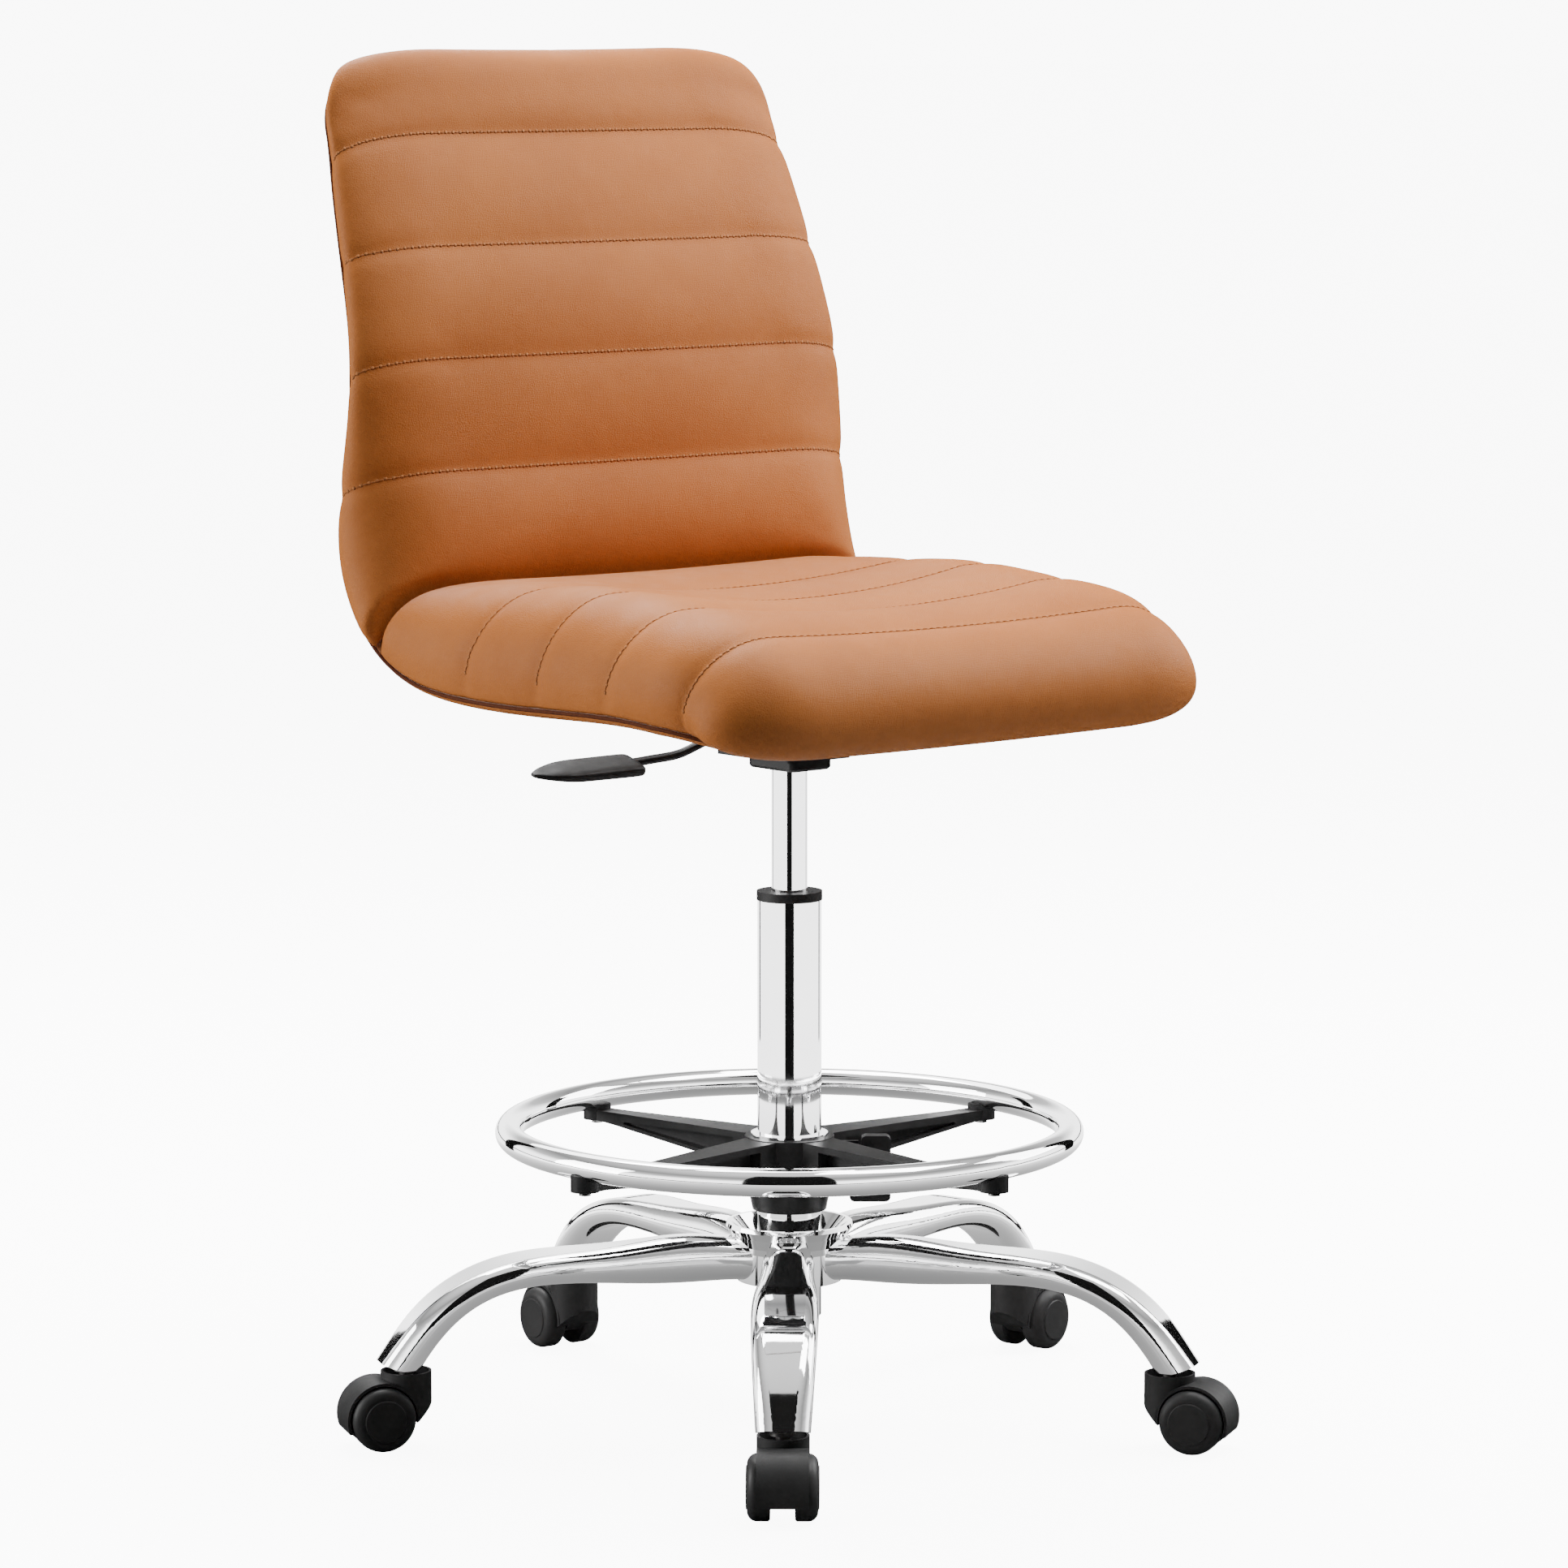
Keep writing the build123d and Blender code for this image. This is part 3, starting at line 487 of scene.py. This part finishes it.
def add_capsule(work, start, end, up, radius):
    """A short length of thread with rounded ends."""
    along = (end - start).normalized()
    side = along.cross(up).normalized()
    rise = side.cross(along).normalized()
    length = (end - start).length
    rings = [(0.0, 0.35), (0.12, 0.8), (0.35, 1.0), (0.65, 1.0), (0.88, 0.8), (1.0, 0.35)]
    loops = []
    for share, size in rings:
        arch = THREAD_ARCH * (1 - (2 * share - 1)**4)
        centre = start + along * length * share + rise * radius * arch
        turns = [2 * pi * k / THREAD_SIDES for k in range(THREAD_SIDES)]
        loops.append([work.verts.new(centre + side * cos(turn) * radius * size
                                     + rise * sin(turn) * radius * size) for turn in turns])
    for low, high in zip(loops, loops[1:]):
        for k in range(THREAD_SIDES):
            after = (k + 1) % THREAD_SIDES
            work.faces.new((low[k], low[after], high[after], high[k]))
    work.faces.new(loops[0][::-1])
    work.faces.new(loops[-1])


def add_hole(work, tree, centre, up, along, radius):
    """A needle hole: a small patch, dark with painted shade, that follows the surface round it."""
    side = up.cross(along).normalized()
    rim = []
    for k in range(HOLE_SIDES):
        turn = 2 * pi * k / HOLE_SIDES
        reach = along * cos(turn) * HOLE_STRETCH + side * sin(turn)
        place, normal, _, _ = tree.find_nearest(centre + reach * radius)
        rim.append(work.verts.new(place + normal * HOLE_LIFT * MM))
    heart = work.verts.new(centre + up * HOLE_HEART_LIFT * MM)
    base = work.verts.new(centre - up * HOLE_DEPTH * MM)
    for k in range(HOLE_SIDES):
        after = (k + 1) % HOLE_SIDES
        work.faces.new((rim[k], rim[after], heart)).material_index = 1
        work.faces.new((rim[after], rim[k], base)).material_index = 1


def stitched(name, pad, lines):
    """Lockstitch along the lines: a needle hole each pitch and the thread between two holes."""
    tree = surface_of(pad)
    work = bmesh.new()
    for line in lines:
        arcs = arc_lengths(line)
        count = int(arcs[-1] // STITCH_PITCH)
        margin = (arcs[-1] - count * STITCH_PITCH) / 2
        spots = at_arc(line, arcs, margin + STITCH_PITCH * np.arange(count + 1))
        found = [tree.find_nearest(Vector(p) * MM) for p in spots]
        for (place, up, _, _), (following, _, _, _) in zip(found, found[1:]):
            along = (following - place).normalized()
            add_hole(work, tree, place, up, along, HOLE_R * MM)
            gap = (following - place) * STITCH_GAP
            add_capsule(work, place + gap, following - gap, up, THREAD_R * MM)
    piece = built(name, work)
    smooth(piece.data)
    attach(piece, "seat")
    return piece


# ---- rear cover and seam welt ---------------------------------------------------------------------
def cover_edge():
    """The whole seam at one side, from the seat's front to the back's top, as (x, y, z)."""
    return np.concatenate([seat_edge(), back_edge()[1:]])


def rear_cover():
    """The covering under the seat and behind the back: a thin skin with a soft rounded edge."""
    edge = cover_edge()
    arcs = arc_lengths(edge)
    places = np.linspace(0, arcs[-1], COVER_ROWS)
    edge = at_arc(edge, arcs, places)
    along = np.gradient(edge[:, 1:], axis=0)
    out = np.column_stack([along[:, 1], -along[:, 0]])
    out /= np.linalg.norm(out, axis=1, keepdims=True)
    out[0], out[-1] = out[1], out[-2]
    shares = np.sin(np.linspace(-pi / 2, pi / 2, COVER_COLUMNS))
    outer, inner = [], []
    for row, (side, away) in enumerate(zip(edge, out)):
        x = side[0] * shares
        inset = side[0] - np.abs(x)
        ends = min(places[row], arcs[-1] - places[row])
        near = np.minimum(inset, ends) / COVER_ROUND
        depth = COVER_DEPTH * np.sqrt(1 - (1 - np.clip(near, 0, 1))**2)
        outer.append(np.column_stack([x, side[1] + away[0] * depth, side[2] + away[1] * depth]))
        thin = np.minimum(depth, COVER_GAP)
        inner.append(np.column_stack([x, side[1] + away[0] * thin, side[2] + away[1] * thin]))
    cover = closed_mesh("rear_upholstery", np.array(outer), np.array(inner))
    subdivided(cover)
    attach(cover, "seat")
    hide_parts("rear_cover")
    return cover


def welt():
    """The narrow seam bead, in the joint between the pads and the rear cover."""
    edge = cover_edge()
    arcs = arc_lengths(edge)
    edge = at_arc(edge, arcs, np.linspace(0, arcs[-1], WELT_SIDE_POINTS))
    across = np.linspace(-1, 1, WELT_END_POINTS + 2)[1:-1, None]
    under = np.hstack([edge[0, 0] * across, np.tile(edge[0, 1:], (WELT_END_POINTS, 1))])
    over = np.hstack([-edge[-1, 0] * across, np.tile(edge[-1, 1:], (WELT_END_POINTS, 1))])
    loop = np.concatenate([under, edge, over, edge[::-1] * (-1, 1, 1)])
    curve = bpy.data.curves.new("seam_bead", "CURVE")
    curve.dimensions = "3D"
    curve.bevel_depth = WELT_R * MM
    curve.bevel_resolution = 2
    path = curve.splines.new("POLY")
    path.points.add(len(loop) - 1)
    for point, place in zip(path.points, loop):
        point.co = (*(place * MM), 1)
    path.use_cyclic_u = True
    holder = placed("seam_bead_curve", curve)
    mesh = bpy.data.meshes.new_from_object(holder.evaluated_get(bpy.context.evaluated_depsgraph_get()))
    bpy.data.objects.remove(holder)
    bead = placed("seam_bead", mesh)
    smooth(mesh)
    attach(bead, "seat")
    return bead


def lever_grip():
    """The moulded grip of the height lever: a flat paddle, widest before its tapered tip."""
    low, high = (np.array(corner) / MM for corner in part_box("lever_grip"))
    middle = (low + high) / 2
    shares, widths, thicknesses = zip(*GRIP_SHAPE)
    ring_turns = np.linspace(GRIP_END_TURN, pi - GRIP_END_TURN, GRIP_RINGS)
    along = np.concatenate([[0.0], 0.5 - 0.5 * np.cos(ring_turns), [1.0]])
    half_width, half_thick = monotone(along, shares, widths), monotone(along, shares, thicknesses)
    turns = np.linspace(0, 2 * pi, GRIP_SIDES + 1)[:-1]
    cosines, sines = np.cos(turns), np.sin(turns)
    roll = np.array([[cos(radians(GRIP_ROLL)), -sin(radians(GRIP_ROLL))],
                     [sin(radians(GRIP_ROLL)), cos(radians(GRIP_ROLL))]])
    work = bmesh.new()
    loops = []
    for share, width, thick in zip(along, half_width, half_thick):
        wide = np.sign(cosines) * np.abs(cosines)**GRIP_WIDTH_POWER * width
        deep = np.sign(sines) * np.abs(sines)**GRIP_THICKNESS_POWER * thick
        section = np.column_stack([wide, deep]) @ roll.T
        x = low[0] + (high[0] - low[0]) * share
        loops.append([work.verts.new(Vector((x, middle[1] + y, middle[2] + z)) * MM) for y, z in section])
    for near, far in zip(loops, loops[1:]):
        for k in range(len(turns)):
            work.faces.new((near[k], near[k - 1], far[k - 1], far[k]))
    work.faces.new(loops[0])
    work.faces.new(loops[-1][::-1])
    bmesh.ops.recalc_face_normals(work, faces=work.faces)
    paddle = built("lever_paddle", work)
    smooth(paddle.data)
    subdivided(paddle)
    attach(paddle, "lever")
    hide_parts("lever_grip")
    return paddle


# ---- materials ------------------------------------------------------------------------------------
class Recipe:
    """A node material, built a node at a time."""

    def __init__(self, name):
        self.material = bpy.data.materials.new(name)
        self.material.use_nodes = True
        self.tree = self.material.node_tree
        self.shader = self.tree.nodes["Principled BSDF"]
        self.place = self.node("ShaderNodeTexCoord").outputs["Object"]

    def node(self, kind, **values):
        made = self.tree.nodes.new(kind)
        for key, value in values.items():
            if key in made.inputs:
                made.inputs[key].default_value = value
            else:
                setattr(made, key, value)
        return made

    def link(self, source, target):
        self.tree.links.new(source, target)

    def set(self, **values):
        for key, value in values.items():
            self.shader.inputs[key.replace("_", " ")].default_value = value

    def noise(self, scale, detail=3.0, roughness=0.5):
        made = self.node("ShaderNodeTexNoise")
        made.inputs["Scale"].default_value = scale
        made.inputs["Detail"].default_value = detail
        made.inputs["Roughness"].default_value = roughness
        self.link(self.place, made.inputs["Vector"])
        return made.outputs["Fac"]

    def cells(self, scale):
        """Distance to the nearest edge between cells."""
        made = self.node("ShaderNodeTexVoronoi", feature="DISTANCE_TO_EDGE")
        made.inputs["Scale"].default_value = scale
        self.link(self.place, made.inputs["Vector"])
        return made.outputs["Distance"]

    def spread(self, source, low, high, to_low, to_high):
        """The source, mapped from one range of values to another."""
        made = self.node("ShaderNodeMapRange")
        for key, value in (("From Min", low), ("From Max", high), ("To Min", to_low), ("To Max", to_high)):
            made.inputs[key].default_value = value
        self.link(source, made.inputs["Value"])
        return made.outputs["Result"]

    def colours(self, source, *stops):
        """A ramp of (place, colour) stops, read at the source."""
        made = self.node("ShaderNodeValToRGB")
        ramp = made.color_ramp
        while len(ramp.elements) < len(stops):
            ramp.elements.new(0.5)
        for element, (place, colour) in zip(ramp.elements, stops):
            element.position = place
            element.color = (*colour, 1)
        self.link(source, made.inputs["Fac"])
        return made.outputs["Color"]

    def bump(self, *layers):
        """Layers of (height source, depth in metres), from the finest to the broadest."""
        normal = None
        for height, depth in layers:
            made = self.node("ShaderNodeBump")
            made.inputs["Distance"].default_value = depth
            made.inputs["Strength"].default_value = 1.0
            self.link(height, made.inputs["Height"])
            if normal is not None:
                self.link(normal, made.inputs["Normal"])
            normal = made.outputs["Normal"]
        self.link(normal, self.shader.inputs["Normal"])


def leatherette(name, light, dark):
    """Coated fabric: pebble grain, faint mottling and a soft, uneven sheen."""
    r = Recipe(name)
    mottle = r.noise(9, 4, 0.6)
    r.link(r.colours(mottle, (0.3, dark), (0.7, light)), r.shader.inputs["Base Color"])
    grain = r.cells(620)
    pores = r.spread(grain, 0.0, 0.25, 0.0, 1.0)
    r.bump((pores, 0.00013), (r.noise(1400, 2), 0.00006), (r.noise(60, 3), 0.00035))
    r.link(r.spread(r.noise(35, 3), 0.3, 0.7, 0.40, 0.52), r.shader.inputs["Roughness"])
    r.set(Specular_IOR_Level=0.1)
    return r.material


def thread(name, light, dark):
    """Twisted sewing thread. The needle holes and the seam bead use it too, in dark browns that are painted
    shade.
    """
    r = Recipe(name)
    twist = r.noise(900, 2)
    r.link(r.colours(twist, (0.35, dark), (0.65, light)), r.shader.inputs["Base Color"])
    r.bump((twist, 0.0001))
    r.set(Roughness=0.75, Specular_IOR_Level=0.12)
    return r.material


def chrome():
    """Polished plating with faint haze and waviness."""
    r = Recipe("chrome")
    haze = r.noise(14, 4, 0.6)
    r.link(r.colours(haze, (0.3, (0.86, 0.86, 0.87)), (0.7, (0.93, 0.93, 0.93))),
           r.shader.inputs["Base Color"])
    r.link(r.spread(haze, 0.3, 0.75, 0.03, 0.06), r.shader.inputs["Roughness"])
    r.bump((r.noise(45, 1), 0.000003))
    r.set(Metallic=1.0)
    return r.material


def zinc():
    """Plated steel of hardware: greyer and rougher than chrome, with fine grain."""
    r = Recipe("zinc")
    stain = r.noise(60, 4, 0.6)
    r.link(r.colours(stain, (0.3, (0.50, 0.50, 0.49)), (0.7, (0.66, 0.66, 0.64))),
           r.shader.inputs["Base Color"])
    r.link(r.spread(r.noise(220, 3), 0.3, 0.7, 0.28, 0.42), r.shader.inputs["Roughness"])
    r.bump((r.noise(900, 2), 0.00002))
    r.set(Metallic=1.0)
    return r.material


def black_paint():
    """Satin black powder coat with its fine orange peel."""
    r = Recipe("black_paint")
    peel = r.noise(420, 2)
    worn = r.noise(30, 4, 0.65)
    r.link(r.colours(worn, (0.35, (0.026, 0.026, 0.0265)), (0.75, (0.036, 0.036, 0.0365))),
           r.shader.inputs["Base Color"])
    r.link(r.spread(worn, 0.3, 0.7, 0.36, 0.46), r.shader.inputs["Roughness"])
    r.bump((peel, 0.00006))
    r.set(Specular_IOR_Level=0.3)
    return r.material


def nylon():
    """Moulded black nylon with a finely grained surface."""
    r = Recipe("nylon")
    tone = r.noise(25, 3)
    r.link(r.colours(tone, (0.3, (0.032, 0.032, 0.0325)), (0.7, (0.042, 0.042, 0.0425))),
           r.shader.inputs["Base Color"])
    r.link(r.spread(r.noise(80, 2), 0.3, 0.7, 0.42, 0.55), r.shader.inputs["Roughness"])
    r.bump((r.noise(1500, 2), 0.00006))
    r.set(Specular_IOR_Level=0.25)
    return r.material


def plywood():
    """Moulded plywood, with its grain along the layers."""
    r = Recipe("plywood")
    stretch = r.node("ShaderNodeMapping")
    stretch.inputs["Scale"].default_value = (3, 60, 260)
    r.link(r.place, stretch.inputs["Vector"])
    grain = r.node("ShaderNodeTexNoise")
    grain.inputs["Scale"].default_value = 4
    grain.inputs["Detail"].default_value = 5
    r.link(stretch.outputs["Vector"], grain.inputs["Vector"])
    r.link(r.colours(grain.outputs["Fac"], (0.3, (0.36, 0.22, 0.11)), (0.7, (0.56, 0.40, 0.23))),
           r.shader.inputs["Base Color"])
    r.bump((grain.outputs["Fac"], 0.0002))
    r.set(Roughness=0.6)
    return r.material


def floor_paint(name, glow):
    """Matt white, with a glow of its own."""
    r = Recipe(name)
    r.link(r.colours(r.noise(2, 2), (0.3, (0.80, 0.80, 0.80)), (0.7, (0.84, 0.84, 0.84))),
           r.shader.inputs["Base Color"])
    r.set(Roughness=0.9, Specular_IOR_Level=0.0, Emission_Color=(1, 1, 1, 1), Emission_Strength=glow)
    return r.material


def dress(piece, *materials):
    """Gives a piece these materials in place of any that it has."""
    piece.data.materials.clear()
    for material in materials:
        piece.data.materials.append(material)


# ---- studio ---------------------------------------------------------------------------------------
def world():
    """A white surround: bright to the eye, dim as a light."""
    made = bpy.data.worlds.new("studio")
    bpy.context.scene.world = made
    made.use_nodes = True
    tree = made.node_tree
    path = tree.nodes.new("ShaderNodeLightPath")
    strength = tree.nodes.new("ShaderNodeMapRange")
    strength.inputs["To Min"].default_value = SKY_LIGHT
    strength.inputs["To Max"].default_value = BACKDROP_GLOW
    tree.links.new(path.outputs["Is Camera Ray"], strength.inputs["Value"])
    tree.links.new(strength.outputs["Result"], tree.nodes["Background"].inputs["Strength"])
    tree.nodes["Background"].inputs["Color"].default_value = (1, 1, 1, 1)


def glow_of(recipe, source, stops):
    """Emission that follows a coordinate through a ramp of (place, strength) stops."""
    strongest = max(strength for _, strength in stops)
    shades = recipe.colours(source, *[(place, (strength / strongest,) * 3) for place, strength in stops])
    recipe.link(shades, recipe.shader.inputs["Emission Color"])
    recipe.set(Base_Color=(0, 0, 0, 1), Specular_IOR_Level=0.0, Emission_Strength=strongest)


def reflected_only(piece):
    """Leaves a piece of the stage to be seen in reflections, and nowhere else."""
    piece.visible_camera = False
    piece.visible_diffuse = False
    piece.visible_shadow = False


def tent(polished):
    """A white tent with a floor, which only the polished pieces see."""
    seen_by = bpy.data.collections.new("polished")
    for node in polished:
        seen_by.objects.link(node)
    for name, stops in (("tent_roof", TENT_GLOW), ("tent_floor", TENT_FLOOR_GLOW)):
        work = bmesh.new()
        recipe = Recipe(name + "_cloth")
        if name == "tent_roof":
            bmesh.ops.create_icosphere(work, subdivisions=4, radius=TENT_RADIUS)
            bmesh.ops.bisect_plane(work, geom=work.verts[:] + work.edges[:] + work.faces[:],
                                   plane_co=(0, 0, -TENT_ROOF_DROP), plane_no=(0, 0, 1), clear_inner=True)
            parts = recipe.node("ShaderNodeSeparateXYZ")
            recipe.link(recipe.place, parts.inputs["Vector"])
            source = recipe.spread(parts.outputs["Z"], 0, TENT_RADIUS, 0, 1)
        else:
            bmesh.ops.create_circle(work, cap_ends=True, segments=96, radius=TENT_RADIUS)
            bmesh.ops.translate(work, verts=work.verts, vec=(0, 0, -TENT_FLOOR_DROP))
            reach = recipe.node("ShaderNodeVectorMath", operation="LENGTH")
            recipe.link(recipe.place, reach.inputs[0])
            source = recipe.spread(reach.outputs["Value"], 0, TENT_RADIUS, 0, 1)
        glow_of(recipe, source, stops)
        piece = built(name, work)
        dress(piece, recipe.material)
        reflected_only(piece)
        piece.light_linking.receiver_collection = seen_by


def flags():
    """Black cards that give glossy pieces something dark to reflect. The camera doesn't see them."""
    work = bmesh.new()
    for bearing, half_width, distance, low, high in FLAGS:
        steps = max(4, round(half_width / FLAG_STEP))
        turns = [radians(bearing - half_width + 2 * half_width * k / steps) for k in range(steps + 1)]
        columns = [[work.verts.new((sin(t) * distance, -cos(t) * distance, z)) for z in (low, high)]
                   for t in turns]
        for left, right in zip(columns, columns[1:]):
            work.faces.new((left[0], right[0], right[1], left[1]))
    piece = built("flags", work)
    recipe = Recipe("flag_cloth")
    recipe.link(recipe.colours(recipe.noise(40), (0.3, (0.004, 0.004, 0.004)), (0.7, (0.006, 0.006, 0.006))),
                recipe.shader.inputs["Base Color"])
    recipe.set(Roughness=1.0, Specular_IOR_Level=0.0)
    dress(piece, recipe.material)
    reflected_only(piece)


def softbox(name, bearing, rise, power):
    """A square lamp turned to the middle of the object."""
    bearing, rise = radians(bearing), radians(rise)
    towards = Vector((sin(bearing) * cos(rise), -cos(bearing) * cos(rise), sin(rise)))
    light = bpy.data.lights.new(name, "AREA")
    light.shape = "SQUARE"
    light.size = SOFTBOX_SIZE
    light.energy = power
    holder = placed(name, light)
    holder.location = Vector((0, 0, SOFTBOX_AIM)) + towards * SOFTBOX_DISTANCE
    holder.rotation_euler = (-towards).to_track_quat("-Z", "Y").to_euler()
    holder.visible_camera = False


def floor(name, drop, glow, lights_object):
    """A floor far wider than the view. One copy is for the camera and glows; one only bounces light."""
    work = bmesh.new()
    bmesh.ops.create_grid(work, x_segments=8, y_segments=8, size=FLOOR_HALF)
    piece = built(name, work)
    piece.location.z = -drop
    dress(piece, floor_paint(name + "_paint", glow))
    piece.visible_camera = not lights_object
    piece.visible_glossy = False
    piece.visible_diffuse = lights_object


def camera():
    """The photo's viewpoint."""
    lens = bpy.data.cameras.new("camera")
    lens.lens, lens.sensor_width = CAMERA_LENS, 36
    holder = placed("camera", lens)
    holder.location = CAMERA_PLACE
    holder.rotation_euler = (radians(CAMERA_TILT), 0, radians(CAMERA_TURN))
    bpy.context.scene.camera = holder


# ---- the object -----------------------------------------------------------------------------------
CHROME_NODES = ["base_hub", "column_tube", "gas_cylinder", "footrest_ring", "footrest_sleeve"]
CHROME_NODES += [f"base_arm_{n}" for n in range(1, 6)]
PAINT_NODES = ["footrest_spider", "seat_plate", "lever_rod", "lock_lever"]
NYLON_NODES = ["guide_bush"]
NYLON_NODES += [f"{part}_{n}" for part in ("caster_hood", "wheel_left", "wheel_right") for n in range(1, 6)]
WOOD_NODES = ["seat_shell"]


def upholstery(frame):
    """The pads, their stitching, the rear cover and the seam bead."""
    tan = leatherette("leatherette", (0.50, 0.168, 0.042), (0.44, 0.143, 0.035))
    # Dark brown of the seam bead: painted shade, standing in for the shade in the groove between the pads
    # and the rear cover.
    seam_painted_shade = thread("seam_painted_shade", (0.13, 0.035, 0.012), (0.08, 0.022, 0.008))
    thread_tan = thread("thread_tan", (0.44, 0.17, 0.058), (0.32, 0.12, 0.04))
    # Near-black brown of the needle holes: painted shade, standing in for the shade inside each hole.
    hole_painted_shade = thread("needle_hole_painted_shade", (0.030, 0.009, 0.004), (0.016, 0.005, 0.003))
    stitched_columns = slice(STITCH_MARGIN, -STITCH_MARGIN)

    grid, edge, marks = seat_grid()
    seat_rows = marks[2:6]
    seat = upholstered("seat_cushion", grid, edge, seat_rows, len(grid) - 1)
    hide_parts("seat_pad")
    dress(seat, tan)
    lines = [grid[row, stitched_columns] for row in seat_rows]
    dress(stitched("seat_stitching", seat, lines), thread_tan, hole_painted_shade)

    grid, edge, marks = back_grid()
    back_rows = marks[1:5]
    back = upholstered("back_cushion", grid, edge, back_rows, 0)
    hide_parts("back_pad")
    dress(back, tan)
    lines = [grid[row, stitched_columns] for row in back_rows]
    dress(stitched("back_stitching", back, lines), thread_tan, hole_painted_shade)

    rear = rear_cover()
    dress(rear, tan)
    for soft in (seat, back, rear, frame["nodes"]["seat_shell"]):
        soft.visible_glossy = False  # kept out of every reflection, so that the chrome stays neutral
    # The bead is dressed in painted shade: dark brown for the shade of the seam groove.
    dress(welt(), seam_painted_shade)


def dress_frame(nodes):
    """Every CAD node's material, and the lever's grip."""
    plating, paint, moulding, wood, hardware = chrome(), black_paint(), nylon(), plywood(), zinc()
    dress(lever_grip(), moulding)
    for name, node in nodes.items():
        if name in CHROME_NODES:
            dress(node, plating)
        elif name in PAINT_NODES:
            dress(node, paint)
        elif name in NYLON_NODES:
            dress(node, moulding)
        elif name in WOOD_NODES:
            dress(node, wood)
        else:
            dress(node, hardware)


def studio(nodes):
    """Floor, surround, tent, cards, lamps and camera."""
    floor("floor", 0.0, FLOOR_GLOW, False)
    floor("floor_bounce", FLOOR_BOUNCE_DROP, 0.0, True)
    world()
    tent([nodes[name] for name in CHROME_NODES])
    flags()
    for name, bearing, rise, power in SOFTBOXES:
        softbox(name, bearing, rise, power)
    camera()


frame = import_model()

upholstery(frame)
dress_frame(frame["nodes"])
studio(frame["nodes"])
